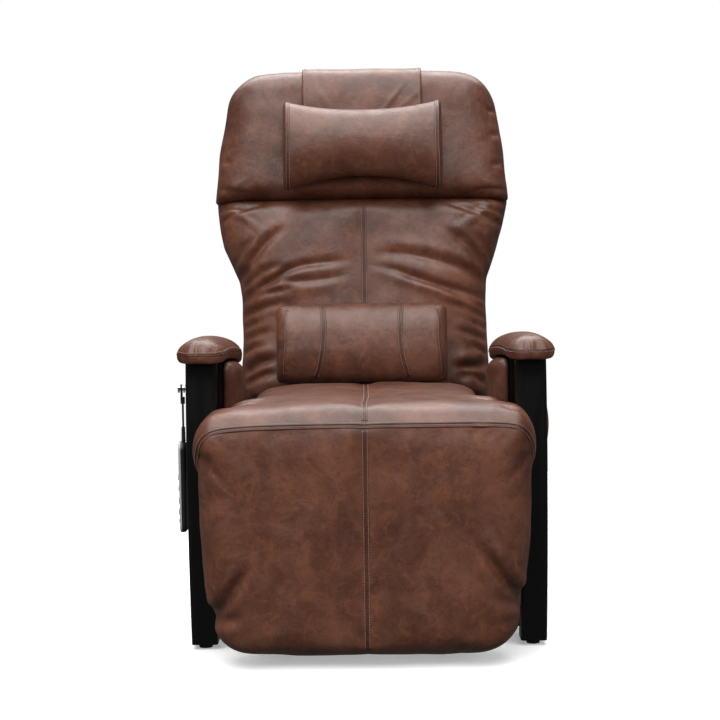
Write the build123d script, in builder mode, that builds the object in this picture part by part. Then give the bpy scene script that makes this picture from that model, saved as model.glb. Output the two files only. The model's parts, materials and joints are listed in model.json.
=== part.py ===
from build123d import *
from math import cos, radians, sin, sqrt, tan
import os

os.makedirs("parts", exist_ok=True)

# Millimetres. +X is the sitter's left, the chair faces -Y, +Z is up, the floor is Z = 0.

# Pivots, as (Y, Z) in the side view.
SEAT_PIVOT = (-40.0, 358.0)
BACK_PIVOT = (225.0, 400.0)
KNEE_PIVOT = (-392.0, 455.0)
BACK_LEAN = 14.5
PIN_CLEARANCE = 0.08

# Wooden side frames.
LEG_OUTER = 366.0
LEG_INNER_TOP = 303.0
LEG_INNER_FOOT = 312.0
FOOT_X = 339.0
LEG_DEPTH = 58.0
LEG_TOP = 592.6
FOOT_HEIGHT = 10.0
FOOT_RADIUS = 14.0
REAR_LEG_INNER = 308.0
REAR_LEG_OUTER = 358.0
RAIL_INNER = 308.5
RAIL_OUTER = 340.0
RAIL_DEPTH = 24.0
BOARD_INNER = 296.0
BOARD_OUTER = 308.0

# Arm pads: the underside is a long arc that is level at the front leg.
ARM_LEVEL_Y = -290.0
ARM_UNDERSIDE = 594.0
ARM_RADIUS = 2170.0
ARM_THICKNESS = 50.0
ARM_FRONT = -330.0
ARM_REAR = 133.0

# Seat.
SEAT_TOP = 520.0
SEAT_BASE = 390.0
KNEE_RADIUS = 65.0
SEAT_HALF_FRONT = 328.0
SEAT_HALF_MIDDLE = 296.0
SEAT_HALF_REAR = 252.0
PLATE_INNER = 253.5
PLATE_OUTER = 260.5
TUBE_RADIUS = 10.0
FRONT_TUBE = (-230.0, 366.0)
REAR_TUBE = (150.0, 395.0)

# Leg rest.
CALF_FRONT = -457.0
CALF_REAR = -327.0
CALF_FOOT = 32.0
BAR_INNER = 262.0
BAR_OUTER = 268.0
LEG_TUBE_Y = -316.0

# Back rest, measured up along the back (u) and forward from it (n).
BACK_SIDE_INNER = 226.0
BACK_SIDE_OUTER = 250.0
SHELL_REAR = -30.0
SHELL_FRONT = -12.0
BACK_FRONT = 115.0
HEAD_FRONT = 122.0
BACK_FOOT = 50.0
SHOULDER = 511.0
BACK_TOP = 813.0

# Linear drives, both hung under the seat.
BACK_DRIVE_X = -60.0
BACK_DRIVE_TAIL = (-200.0, 270.0)
BACK_LEVER = 130.0
BACK_TRAVEL = 45.0
LEG_DRIVE_X = 60.0
LEG_DRIVE_TAIL = (100.0, 240.0)
LEG_LEVER = 110.0
LEG_TRAVEL = 75.0
DRIVE_PIN = 6.0
DRIVE_TUBE_LENGTH = 300.0

# Handset, hung on a stud at the chair's right-hand side.
STUD_YZ = (-205.0, 536.0)
HANDSET_BACK = -373.5
HANDSET_SEAM = -384.0
HANDSET_FACE = -388.5
HANDSET_LOW = 237.0
HANDSET_HIGH = 425.0
HANDSET_HALF_WIDTH = 25.0
KEY_HEIGHTS = (353.0, 330.0, 304.0, 281.0)
ROUND_KEY_HEIGHT = 261.0
LAMP_HEIGHT = 397.0
FERRULE = (504.0, 518.0)
CORD_RADIUS = 2.2


def save(piece, name):
    piece.part.label = name
    export_step(piece.part, f"parts/{name}.step")


def side_plane(x):
    return Plane.YZ.offset(x)


def under_arm(y):
    return ARM_UNDERSIDE - ARM_RADIUS + sqrt(ARM_RADIUS**2 - (y - ARM_LEVEL_Y) ** 2)


def back_point(u, n):
    lean = radians(BACK_LEAN)
    return (
        BACK_PIVOT[0] + u * sin(lean) - n * cos(lean),
        BACK_PIVOT[1] + u * cos(lean) + n * sin(lean),
    )


def back_plane(n):
    lean = radians(BACK_LEAN)
    base = Plane(
        origin=(0, BACK_PIVOT[0], BACK_PIVOT[1]),
        x_dir=(1, 0, 0),
        z_dir=(0, -cos(lean), sin(lean)),
    )
    return base.offset(n)


def about(pivot, radius, angle):
    """The point a radius away from a pivot, angle degrees behind straight down."""
    return (pivot[0] + radius * sin(radians(angle)), pivot[1] - radius * cos(radians(angle)))


def link(points, half_width):
    """Add a strip with round ends and corners through the points to the open sketch."""
    for start, end in zip(points, points[1:]):
        run = (end[0] - start[0], end[1] - start[1])
        length = sqrt(run[0] ** 2 + run[1] ** 2)
        off = (-run[1] * half_width / length, run[0] * half_width / length)
        Polygon(
            (start[0] + off[0], start[1] + off[1]),
            (end[0] + off[0], end[1] + off[1]),
            (end[0] - off[0], end[1] - off[1]),
            (start[0] - off[0], start[1] - off[1]),
            align=None,
        )
    with Locations(*points):
        Circle(half_width)


def cylinder_x(point, radius, low, high, mode=Mode.ADD):
    """A cylinder along X through a (Y, Z) point, added to the open part."""
    with BuildSketch(side_plane(low)) as disc:
        with Locations(point):
            Circle(radius)
    extrude(disc.sketch, amount=high - low, mode=mode)


def cylinder_z(point, radius, low, high, mode=Mode.ADD):
    """A cylinder along Z through an (X, Y) point, added to the open part."""
    with BuildSketch(Plane.XY.offset(low)) as disc:
        with Locations(point):
            Circle(radius)
    extrude(disc.sketch, amount=high - low, mode=mode)


def block(x_range, y_range, z_range, mode=Mode.ADD):
    """A box between the given limits, added to the open part."""
    size = [high - low for low, high in (x_range, y_range, z_range)]
    middle = [(high + low) / 2 for low, high in (x_range, y_range, z_range)]
    with Locations(tuple(middle)):
        Box(*size, mode=mode)


def span(side, inner, outer):
    return (min(side * inner, side * outer), max(side * inner, side * outer))


# ---------------------------------------------------------------- side frames


def front_leg(side, name):
    with BuildPart() as leg:
        with BuildSketch(Plane.XZ.offset(180)):
            with BuildLine():
                Polyline(
                    (side * LEG_INNER_FOOT, FOOT_HEIGHT),
                    (side * LEG_OUTER, FOOT_HEIGHT),
                    (side * LEG_OUTER, LEG_TOP),
                    (side * LEG_INNER_TOP, LEG_TOP),
                    close=True,
                )
            make_face()
        extrude(amount=140)
        with BuildSketch(Plane.YZ):
            with BuildLine():
                ThreePointArc((-262, FOOT_HEIGHT), (-294, 300), (-272, LEG_TOP))
                Line((-272, LEG_TOP), (-272 + LEG_DEPTH, LEG_TOP))
                ThreePointArc(
                    (-272 + LEG_DEPTH, LEG_TOP),
                    (-294 + LEG_DEPTH, 300),
                    (-262 + LEG_DEPTH, FOOT_HEIGHT),
                )
                Line((-262 + LEG_DEPTH, FOOT_HEIGHT), (-262, FOOT_HEIGHT))
            make_face()
        extrude(amount=side * 400, mode=Mode.INTERSECT)
        fillet(leg.edges().filter_by(lambda edge: edge.length > 300), 7)
    save(leg, name)


def rear_leg(side, name):
    low, high = span(side, REAR_LEG_INNER, REAR_LEG_OUTER)
    top_front = under_arm(70) - RAIL_DEPTH - 0.3
    top_rear = under_arm(128) - RAIL_DEPTH - 0.3
    with BuildPart() as leg:
        with BuildSketch(side_plane(low)):
            with BuildLine():
                Polyline((285, FOOT_HEIGHT), (70, top_front), (128, top_rear))
                ThreePointArc((128, top_rear), (258, 240), (340, FOOT_HEIGHT))
                Line((340, FOOT_HEIGHT), (285, FOOT_HEIGHT))
            make_face()
        extrude(amount=high - low)
        fillet(leg.edges().filter_by(lambda edge: edge.length > 300), 7)
    save(leg, name)


def arm_rail(side, name):
    low, high = span(side, RAIL_INNER, RAIL_OUTER)
    ends = (-212.5, 128.0)
    middle = (ends[0] + ends[1]) / 2
    with BuildPart() as rail:
        with BuildSketch(side_plane(low)):
            with BuildLine():
                ThreePointArc(
                    (ends[0], under_arm(ends[0])),
                    (middle, under_arm(middle)),
                    (ends[1], under_arm(ends[1])),
                )
                Line((ends[1], under_arm(ends[1])), (ends[1], under_arm(ends[1]) - RAIL_DEPTH))
                ThreePointArc(
                    (ends[1], under_arm(ends[1]) - RAIL_DEPTH),
                    (middle, under_arm(middle) - RAIL_DEPTH),
                    (ends[0], under_arm(ends[0]) - RAIL_DEPTH),
                )
                Line((ends[0], under_arm(ends[0]) - RAIL_DEPTH), (ends[0], under_arm(ends[0])))
            make_face()
        extrude(amount=high - low)
    save(rail, name)


def lower_rail(side, name):
    low, high = span(side, 304, 336)
    with BuildPart() as rail:
        with BuildSketch(side_plane(low)):
            with BuildLine():
                Polyline((-207, 28), (-210, 68), (259, 68), (276, 28), close=True)
            make_face()
        extrude(amount=high - low)
        if side < 0:
            cylinder_z((-320, -175), 2.8, 60, 68, Mode.SUBTRACT)
    save(rail, name)


BOARD_BOLTS = [(-185, 345), (-110, 345), (60, 345), (150, 345)]
RAIL_BOLTS = [(-190, 48), (205, 48)]


def side_board(side, name):
    low, high = span(side, BOARD_INNER, BOARD_OUTER)
    with BuildPart() as board:
        with BuildSketch(side_plane(low)):
            with BuildLine():
                Polyline(
                    (-212, 325),
                    (-212, under_arm(-212) - 1),
                    (110, under_arm(110) - 1),
                    (172, 325),
                    close=True,
                )
            make_face()
        extrude(amount=high - low)
        for place in BOARD_BOLTS:
            cylinder_x(place, 3.1, low, high, Mode.SUBTRACT)
    save(board, name)


def frame_bolts():
    with BuildPart() as bolts:
        for side in (-1, 1):
            for place in BOARD_BOLTS:
                low, high = span(side, BOARD_INNER - 3.5, BOARD_INNER)
                cylinder_x(place, 6.5, low, high)
                low, high = span(side, BOARD_INNER, BOARD_OUTER - 1)
                cylinder_x(place, 3.0, low, high)
            for place in RAIL_BOLTS:
                low, high = span(side, 300.5, 304)
                cylinder_x(place, 6.5, low, high)
    save(bolts, "frame_bolts")


def floor_glides():
    with BuildPart() as glides:
        for side in (-1, 1):
            for x, y in ((FOOT_X, -233), (333, 312)):
                cylinder_z((side * x, y), FOOT_RADIUS, 0, FOOT_HEIGHT)
    save(glides, "floor_glides")


def outer_pad(side, name):
    with BuildPart() as pad:
        for inner, outer, front in ((341.0, 366.0, -211.0), (366.0, 373.0, -168.0)):
            low, high = span(side, inner, outer)
            with BuildSketch(side_plane(low)) as outline:
                with BuildLine():
                    Polyline(
                        (front, 362),
                        (front, under_arm(front) - 1.5),
                        (62, under_arm(62) - 1.5),
                        (66, 544),
                        (134, 362),
                        close=True,
                    )
                make_face()
                fillet(outline.vertices().sort_by(Axis.Y)[:2], 12)
            extrude(amount=high - low)
    save(pad, name)


def inner_pad(side, name):
    low, high = span(side, 262.5, 295.5)
    with BuildPart() as pad:
        with BuildSketch(side_plane(low)) as outline:
            with BuildLine():
                Polyline(
                    (-206, 432),
                    (-206, under_arm(-206) - 2.5),
                    (100, under_arm(100) - 1.5),
                    (100, 432),
                    close=True,
                )
            make_face()
            fillet(outline.vertices(), 14)
        extrude(amount=high - low)
        fillet(pad.faces().sort_by(Axis.X)[0 if side > 0 else -1].edges(), 11)
    save(pad, name)


def arm_pad(side, name):
    """The top and the underside are runs of flats that follow the long arm arc."""
    stations = [ARM_FRONT, -290, -180, -70, 40, ARM_REAR]
    low_edge = [(y, under_arm(y) + 1.6) for y in stations]
    high_edge = [(y, under_arm(y) + ARM_THICKNESS) for y in stations]
    with BuildPart() as pad:
        with BuildSketch(side_plane(0)) as section:
            with BuildLine():
                Polyline(*low_edge, *reversed(high_edge), close=True)
            make_face()
            fillet(section.vertices().group_by(Axis.Y)[0].sort_by(Axis.Z)[-1], 20)
            fillet(section.vertices().group_by(Axis.Y)[-1].sort_by(Axis.Z)[-1], 20)
        extrude(amount=side * 400)
        with BuildSketch(Plane.XY.offset(500)) as outline:
            with BuildLine():
                Polyline(
                    (side * 284, ARM_FRONT - 1),
                    (side * 382, ARM_FRONT - 1),
                    (side * 382, 60),
                    (side * 374, ARM_REAR + 1),
                    (side * 276, ARM_REAR + 1),
                    (side * 266, -190),
                    close=True,
                )
            make_face()
            fillet(outline.vertices(), 26)
        extrude(amount=200, mode=Mode.INTERSECT)
    save(pad, name)


def cross_tube(place, name):
    with BuildPart() as tube:
        cylinder_x(place, 12, -304, 304)
    save(tube, name)


def seat_pivot_tube():
    with BuildPart() as tube:
        cylinder_x(SEAT_PIVOT, 16, -BOARD_INNER, BOARD_INNER)
        for side in (-1, 1):
            low, high = span(side, BOARD_INNER - 6, BOARD_INNER)
            cylinder_x(SEAT_PIVOT, 28, low, high)
    save(tube, "seat_pivot_tube")


def control_box():
    with BuildPart() as box:
        block((-100, 100), (180, 290), (60, 106))
        fillet(box.edges().filter_by(Axis.Z), 8)
        block((-26, 26), (278, 290), (68, 98), Mode.SUBTRACT)
    save(box, "control_box")


def mains_inlet():
    with BuildPart() as inlet:
        block((-25.5, 25.5), (278, 292), (68.5, 97.5))
        block((-13, 13), (281, 292), (75, 91), Mode.SUBTRACT)
        for x, z in ((-7, 81), (0, 86), (7, 81)):
            block((x - 2, x + 2), (281, 290), (z - 1, z + 1))
    save(inlet, "mains_inlet")


# ----------------------------------------------------------------------- seat


def seat_plate(side, name):
    low, high = span(side, PLATE_INNER, PLATE_OUTER)
    with BuildPart() as plate:
        with BuildSketch(side_plane(low)):
            link([KNEE_PIVOT, (-330, 425), (-230, 372), SEAT_PIVOT, BACK_PIVOT], 16)
            with Locations(SEAT_PIVOT):
                Circle(28)
            with Locations(BACK_PIVOT):
                Circle(21)
        extrude(amount=high - low)
        cylinder_x(SEAT_PIVOT, 16 + PIN_CLEARANCE, low, high, Mode.SUBTRACT)
        cylinder_x(BACK_PIVOT, 8 + PIN_CLEARANCE, low, high, Mode.SUBTRACT)
        cylinder_x(KNEE_PIVOT, 8 + PIN_CLEARANCE, low, high, Mode.SUBTRACT)
    save(plate, name)


def seat_tube(place, drive_x, tail, name):
    """A cross tube with the two ears and the pin that hold the tail of one drive."""
    with BuildPart() as tube:
        cylinder_x(place, TUBE_RADIUS, -PLATE_INNER, PLATE_INNER)
        for offset in (-18, 14):
            with BuildSketch(side_plane(drive_x + offset)):
                link([place, tail], 11)
            extrude(amount=4)
        cylinder_x(tail, DRIVE_PIN, drive_x - 14, drive_x + 14)
    save(tube, name)


def seat_deck():
    with BuildPart() as deck:
        block((-PLATE_INNER, PLATE_INNER), (-290, 94), (378, SEAT_BASE - 0.4))
    save(deck, "seat_deck")


def seat_cushion():
    with BuildPart() as cushion:
        with BuildSketch(Plane.YZ):
            with BuildLine():
                ThreePointArc(
                    (KNEE_PIVOT[0], SEAT_TOP),
                    (KNEE_PIVOT[0] - KNEE_RADIUS, KNEE_PIVOT[1]),
                    (KNEE_PIVOT[0], SEAT_BASE),
                )
                Polyline(
                    (KNEE_PIVOT[0], SEAT_BASE),
                    (94, SEAT_BASE),
                    (94, 466),
                    (126, 505),
                    (40, 514),
                    (KNEE_PIVOT[0], SEAT_TOP),
                )
            make_face()
        extrude(amount=400, both=True)
        with BuildSketch(Plane.XY.offset(300)) as outline:
            with BuildLine():
                Polyline(
                    (SEAT_HALF_FRONT, -460),
                    (SEAT_HALF_FRONT, -335),
                    (SEAT_HALF_MIDDLE, -335),
                    (SEAT_HALF_MIDDLE, -255),
                    (SEAT_HALF_REAR, -255),
                    (SEAT_HALF_REAR, 140),
                    (-SEAT_HALF_REAR, 140),
                    (-SEAT_HALF_REAR, -255),
                    (-SEAT_HALF_MIDDLE, -255),
                    (-SEAT_HALF_MIDDLE, -335),
                    (-SEAT_HALF_FRONT, -335),
                    (-SEAT_HALF_FRONT, -460),
                    close=True,
                )
            make_face()
        extrude(amount=300, mode=Mode.INTERSECT)
        for side in (-1, 1):
            block(span(side, 251, 262), (-415, -250), (SEAT_BASE, 480), Mode.SUBTRACT)
            block(span(side, 261.5, 270), (-415, -325), (SEAT_BASE, 476), Mode.SUBTRACT)
            block(span(side, 261.5, 270), (-460, -370), (SEAT_BASE, 452), Mode.SUBTRACT)
    save(cushion, "seat_cushion")


# ------------------------------------------------------------------- leg rest


def leg_bar(side, name):
    low, high = span(side, BAR_INNER, BAR_OUTER)
    with BuildPart() as bar:
        with BuildSketch(side_plane(low)):
            link([KNEE_PIVOT, (-345, 378), (LEG_TUBE_Y, 320), (LEG_TUBE_Y, 120)], 12)
        extrude(amount=high - low)
        low, high = span(side, PLATE_INNER - 2, BAR_INNER)
        cylinder_x(KNEE_PIVOT, 8, low, high)
    save(bar, name)


def leg_cross_tubes():
    lever_end = about(KNEE_PIVOT, LEG_LEVER, LEG_TRAVEL / 2)
    with BuildPart() as tubes:
        for z in (320, 120):
            cylinder_x((LEG_TUBE_Y, z), 8, -BAR_INNER, BAR_INNER)
        with BuildSketch(side_plane(LEG_DRIVE_X + 16)):
            link([(LEG_TUBE_Y, 320), lever_end], 12)
        extrude(amount=6)
        cylinder_x(lever_end, DRIVE_PIN + 0.2, LEG_DRIVE_X + 16, LEG_DRIVE_X + 22, Mode.SUBTRACT)
    save(tubes, "leg_cross_tubes")


def calf_cushion():
    gap = 0.6
    reach = KNEE_RADIUS + gap
    edge = 20.0
    start = (
        KNEE_PIVOT[0] - reach * cos(radians(edge)),
        KNEE_PIVOT[1] - reach * sin(radians(edge)),
    )
    middle = (
        KNEE_PIVOT[0] - reach * cos(radians(55)),
        KNEE_PIVOT[1] - reach * sin(radians(55)),
    )
    end = (KNEE_PIVOT[0], KNEE_PIVOT[1] - reach)
    with BuildPart() as cushion:
        with BuildSketch(Plane.YZ):
            with BuildLine():
                ThreePointArc(start, middle, end)
                Polyline(
                    end,
                    (CALF_REAR, end[1]),
                    (CALF_REAR, CALF_FOOT + 30),
                    (CALF_REAR - 20, CALF_FOOT),
                    (CALF_FRONT + 40, CALF_FOOT),
                    (CALF_FRONT + 12, CALF_FOOT + 14),
                    (CALF_FRONT, CALF_FOOT + 50),
                    (CALF_FRONT, start[1]),
                    start,
                )
            make_face()
        extrude(amount=400, both=True)
        with BuildSketch(Plane.XZ.offset(250)) as outline:
            with BuildLine():
                Polyline(
                    (328, 480),
                    (328, 190),
                    (312, 100),
                    (302, CALF_FOOT),
                    (-302, CALF_FOOT),
                    (-312, 100),
                    (-328, 190),
                    (-328, 480),
                    close=True,
                )
            make_face()
            fillet(outline.vertices().sort_by(Axis.Y)[:2], 55)
        extrude(amount=300, mode=Mode.INTERSECT)
        for side in (-1, 1):
            block(span(side, 261, 269), (-415, CALF_REAR), (330, 400), Mode.SUBTRACT)
            block(span(side, 261, 269), (-362, CALF_REAR), (100, 340), Mode.SUBTRACT)
        block((LEG_DRIVE_X - 26, LEG_DRIVE_X + 34), (-388, CALF_REAR), (292, 400), Mode.SUBTRACT)
    save(cushion, "calf_cushion")


# ------------------------------------------------------------------ back rest


def back_outline(points, corner, low, high):
    """Extrude a symmetric outline of (half width, height) points between two depths."""
    mirrored = [(-x, u) for x, u in reversed(points)]
    with BuildSketch(back_plane(low)) as outline:
        with BuildLine():
            Polyline(*points, *mirrored, close=True)
        make_face()
        fillet(outline.vertices().sort_by(Axis.Y)[-2:], corner)
    extrude(outline.sketch, amount=high - low)


def back_cavity():
    """Clear the channels that the side tubes and cross tubes lie in."""
    with BuildSketch(back_plane(SHELL_FRONT)) as channels:
        for side in (-1, 1):
            with Locations((side * (BACK_SIDE_INNER + BACK_SIDE_OUTER) / 2, 372)):
                Rectangle(BACK_SIDE_OUTER - BACK_SIDE_INNER + 1, 812)
        for u in BACK_TUBES[1:]:
            with Locations((0, u)):
                Rectangle(2 * BACK_SIDE_INNER, 18)
    extrude(channels.sketch, amount=24.5, mode=Mode.SUBTRACT)


BACK_TUBES = (0, 420, 758)
LOWER_OUTLINE = [(266, BACK_FOOT), (278, 90), (278, 300), (284, 370), (310, 432), (337, SHOULDER)]
HEAD_OUTLINE = [(336, SHOULDER + 3), (327, 630), (311, 750), (300, BACK_TOP)]
SHELL_OUTLINE = [(250, 34), (262, 90), (262, 300), (268, 370), (320, 511), (310, 630), (286, 799)]
MOTOR_PLACES = [(-95, 190), (95, 190), (-95, 350), (95, 350)]


def back_side_tube(side, name):
    low, high = span(side, BACK_SIDE_INNER, BACK_SIDE_OUTER)
    with BuildPart() as tube:
        with BuildSketch(side_plane(low)):
            link([BACK_PIVOT, back_point(765, 0)], 11.5)
        extrude(amount=high - low)
        low, high = span(side, BACK_SIDE_OUTER, PLATE_OUTER + 1.5)
        cylinder_x(BACK_PIVOT, 8, low, high)
    save(tube, name)


def back_cross_tubes():
    lever_end = about(BACK_PIVOT, BACK_LEVER, BACK_TRAVEL / 2)
    with BuildPart() as tubes:
        for u in BACK_TUBES:
            cylinder_x(back_point(u, 0), 8, -BACK_SIDE_INNER, BACK_SIDE_INNER)
        with BuildSketch(side_plane(BACK_DRIVE_X + 16)):
            link([BACK_PIVOT, lever_end], 13)
        extrude(amount=6)
        cylinder_x(lever_end, DRIVE_PIN + 0.2, BACK_DRIVE_X + 16, BACK_DRIVE_X + 22, Mode.SUBTRACT)
    save(tubes, "back_cross_tubes")


def back_shell():
    with BuildPart() as shell:
        back_outline(SHELL_OUTLINE, 60, SHELL_REAR, SHELL_FRONT)
        fillet(shell.faces().sort_by(Axis.Y)[-1].edges(), 8)
    save(shell, "back_shell")


def back_cushion():
    with BuildPart() as cushion:
        back_outline(LOWER_OUTLINE, 8, SHELL_FRONT, BACK_FRONT)
        fillet(cushion.faces().sort_by(Axis.Y)[0].edges(), 7)
        back_cavity()
        for place in MOTOR_PLACES:
            with BuildSketch(back_plane(SHELL_FRONT)):
                with Locations(place):
                    Circle(32)
            extrude(amount=38, mode=Mode.SUBTRACT)
    save(cushion, "back_cushion")


def massage_motors():
    with BuildPart() as motors:
        for place in MOTOR_PLACES:
            with BuildSketch(back_plane(SHELL_FRONT)):
                with Locations(place):
                    Circle(31)
            extrude(amount=8)
            with BuildSketch(back_plane(SHELL_FRONT)):
                with Locations(place):
                    Circle(22)
            extrude(amount=34)
    save(motors, "massage_motors")


def head_cushion():
    with BuildPart() as cushion:
        back_outline(HEAD_OUTLINE, 55, SHELL_FRONT, HEAD_FRONT)
        fillet(cushion.faces().sort_by(Axis.Y)[0].edges(), 24)
        back_cavity()
    save(cushion, "head_cushion")


def head_flap():
    inner = [(635, HEAD_FRONT + 0.5), (BACK_TOP + 0.5, HEAD_FRONT + 0.5)]
    inner += [(BACK_TOP + 0.5, SHELL_REAR - 0.5), (625, SHELL_REAR - 0.5)]
    outer = [(625, SHELL_REAR - 3), (BACK_TOP + 3, SHELL_REAR - 3)]
    outer += [(BACK_TOP + 3, HEAD_FRONT + 3), (635, HEAD_FRONT + 3)]
    with BuildPart() as flap:
        with BuildSketch(side_plane(-138)):
            with BuildLine():
                Polyline(*[back_point(u, n) for u, n in inner + outer], close=True)
            make_face()
        extrude(amount=276)
        corners = flap.edges().filter_by(Axis.X)
        high = corners.filter_by(lambda edge: edge.center().Z > 1140)
        front = high.sort_by(Axis.Y)[:2].sort_by(Axis.Z)
        fillet(front[0], 17)
        front = flap.edges().filter_by(Axis.X).sort_by(Axis.Z)[-1]
        fillet(front, 5)
    save(flap, "head_flap")


def head_pillow():
    with BuildPart() as pillow:
        with BuildSketch(back_plane(HEAD_FRONT + 4.5)) as outline:
            with BuildLine():
                ThreePointArc((181, 722), (0, 706), (-181, 722))
                Line((-181, 722), (-181, 521))
                ThreePointArc((-181, 521), (0, 549), (181, 521))
                Line((181, 521), (181, 722))
            make_face()
            fillet(outline.vertices(), 18)
        extrude(amount=84)
        fillet(pillow.faces().sort_by(Axis.Y)[0].edges(), 30)
    save(pillow, "head_pillow")


def lumbar_pillow():
    with BuildPart() as pillow:
        with BuildSketch(back_plane(BACK_FRONT + 1)) as outline:
            with BuildLine():
                Polyline((180, 98), (176, 252), (-190, 252), (-194, 98), close=True)
            make_face()
            fillet(outline.vertices(), 20)
        extrude(amount=80)
        fillet(pillow.faces().sort_by(Axis.Y)[0].edges(), 28)
    save(pillow, "lumbar_pillow")


# --------------------------------------------------------------------- drives


def drive_plane(tail, end, x):
    """A plane at a drive's tail whose local X runs along the drive."""
    return Plane(
        origin=(x, tail[0], tail[1]),
        x_dir=(0, end[0] - tail[0], end[1] - tail[1]),
        z_dir=(1, 0, 0),
    )


def across_drive(tail, end, x, distance):
    """A plane square to a drive, a distance along it from the tail."""
    length = sqrt((end[0] - tail[0]) ** 2 + (end[1] - tail[1]) ** 2)
    along = (0, (end[0] - tail[0]) / length, (end[1] - tail[1]) / length)
    origin = (x, tail[0] + along[1] * distance, tail[1] + along[2] * distance)
    return Plane(origin=origin, x_dir=(1, 0, 0), z_dir=along)


def drive_body(tail, end, x, flip, name):
    with BuildPart() as body:
        with BuildSketch(drive_plane(tail, end, x - 12)):
            Circle(13)
            with Locations((13, 0)):
                Rectangle(26, 22)
        extrude(amount=24)
        with BuildSketch(across_drive(tail, end, x, 24)):
            Rectangle(46, 44)
        extrude(amount=64)
        with BuildSketch(across_drive(tail, end, x, 88)):
            Circle(17)
        extrude(amount=DRIVE_TUBE_LENGTH - 88)
        with BuildSketch(across_drive(tail, end, x, 40)):
            with Locations((flip * 44, 0)):
                Circle(22)
        extrude(amount=110)
        with BuildSketch(across_drive(tail, end, x, 100)):
            Circle(10.4)
        extrude(amount=DRIVE_TUBE_LENGTH - 100, mode=Mode.SUBTRACT)
        cylinder_x(tail, DRIVE_PIN + PIN_CLEARANCE, x - 12, x + 12, Mode.SUBTRACT)
    save(body, name)


def drive_rod(tail, end, x, start, name):
    length = sqrt((end[0] - tail[0]) ** 2 + (end[1] - tail[1]) ** 2)
    with BuildPart() as rod:
        with BuildSketch(across_drive(tail, end, x, start)):
            Circle(10)
        extrude(amount=length - start - 8)
        with BuildSketch(drive_plane(tail, end, x - 10)):
            with Locations((length, 0)):
                Circle(12)
        extrude(amount=20)
        cylinder_x(end, DRIVE_PIN, x - 10, x + 10, Mode.SUBTRACT)
    save(rod, name)


# -------------------------------------------------------------------- handset


def cord(points, radius, name):
    """A round cord of straight runs joined by tangent arcs."""
    radii = []
    for before, here, after in zip(points, points[1:], points[2:]):
        inward = Vector(*here) - Vector(*before)
        outward = Vector(*after) - Vector(*here)
        half_turn = radians(inward.get_angle(outward)) / 2
        radii.append(0.45 * min(inward.length, outward.length) / tan(half_turn))
    print(name, "bend radii:", [round(bend, 1) for bend in radii])
    with BuildPart() as strand:
        with BuildLine():
            path = FilletPolyline(*points, radius=radii)
        with BuildSketch(Plane(origin=path @ 0, z_dir=path % 0)):
            Circle(radius)
        sweep()
    save(strand, name)


def remote_stud():
    y, z = STUD_YZ
    with BuildPart() as stud:
        cylinder_x((y, z), 4.5, -388, -366)
        cylinder_x((y, z), 9, -377, -374)
        cylinder_x((y, z), 9, -388, -385)
    save(stud, "remote_stud")


def remote_hanger():
    y, z = STUD_YZ
    with BuildPart() as hanger:
        with BuildSketch(side_plane(-383)):
            with Locations((y, z)):
                Circle(8.2)
            with Locations((y, z - 12)):
                Rectangle(10, 20)
        extrude(amount=4)
        cylinder_x((y, z), 4.5 + PIN_CLEARANCE, -384, -378, Mode.SUBTRACT)
        cylinder_z((-379, y), 4.6, *FERRULE)
    save(hanger, "remote_hanger")


def strain_relief():
    y = STUD_YZ[0]
    with BuildPart() as relief:
        cylinder_z((-379, y), 3.6, HANDSET_HIGH, HANDSET_HIGH + 31)
        for step in range(6):
            low = HANDSET_HIGH + 2 + step * 5
            cylinder_z((-379, y), 4.8 - step * 0.15, low, low + 2.6)
        cylinder_z((-379, y), CORD_RADIUS + 0.15, HANDSET_HIGH, HANDSET_HIGH + 31, Mode.SUBTRACT)
    save(relief, "strain_relief")


def remote_cord():
    y = STUD_YZ[0]
    with BuildPart() as strand:
        cylinder_z((-379, y), CORD_RADIUS, HANDSET_HIGH, FERRULE[0])
    save(strand, "remote_cord")


def key_openings(grow, low, high, mode):
    with BuildSketch(side_plane(low)) as windows:
        for z in KEY_HEIGHTS:
            with Locations((STUD_YZ[0], z)):
                RectangleRounded(34 + grow, 13 + grow, 5)
        with Locations((STUD_YZ[0], ROUND_KEY_HEIGHT)):
            RectangleRounded(20 + grow, 10 + grow, 4.5)
    extrude(windows.sketch, amount=high - low, mode=mode)


def handset_outline():
    with Locations((STUD_YZ[0], (HANDSET_LOW + HANDSET_HIGH) / 2)):
        RectangleRounded(2 * HANDSET_HALF_WIDTH, HANDSET_HIGH - HANDSET_LOW, 16)


def remote_shell():
    with BuildPart() as shell:
        with BuildSketch(side_plane(HANDSET_SEAM)):
            handset_outline()
        extrude(amount=HANDSET_BACK - HANDSET_SEAM)
        fillet(shell.faces().sort_by(Axis.X)[-1].edges(), 7)
        key_openings(1.0, HANDSET_SEAM, HANDSET_SEAM + 5, Mode.SUBTRACT)
    save(shell, "remote_shell")


def remote_face():
    with BuildPart() as face:
        with BuildSketch(side_plane(HANDSET_FACE)):
            handset_outline()
        extrude(amount=HANDSET_SEAM - HANDSET_FACE)
        fillet(face.faces().sort_by(Axis.X)[0].edges(), 2.5)
        key_openings(1.0, HANDSET_FACE - 1, HANDSET_SEAM + 1, Mode.SUBTRACT)
        cylinder_x((STUD_YZ[0], LAMP_HEIGHT), 3.5, HANDSET_FACE - 1.2, HANDSET_FACE)
    save(face, "remote_face")


def remote_key(size, corner, z, name):
    with BuildPart() as key:
        with BuildSketch(side_plane(HANDSET_FACE - 2.5)):
            with Locations((STUD_YZ[0], z)):
                RectangleRounded(*size, corner)
        extrude(amount=HANDSET_SEAM + 2 - (HANDSET_FACE - 2.5))
        fillet(key.faces().sort_by(Axis.X)[0].edges(), 1.2)
    save(key, name)


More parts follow.
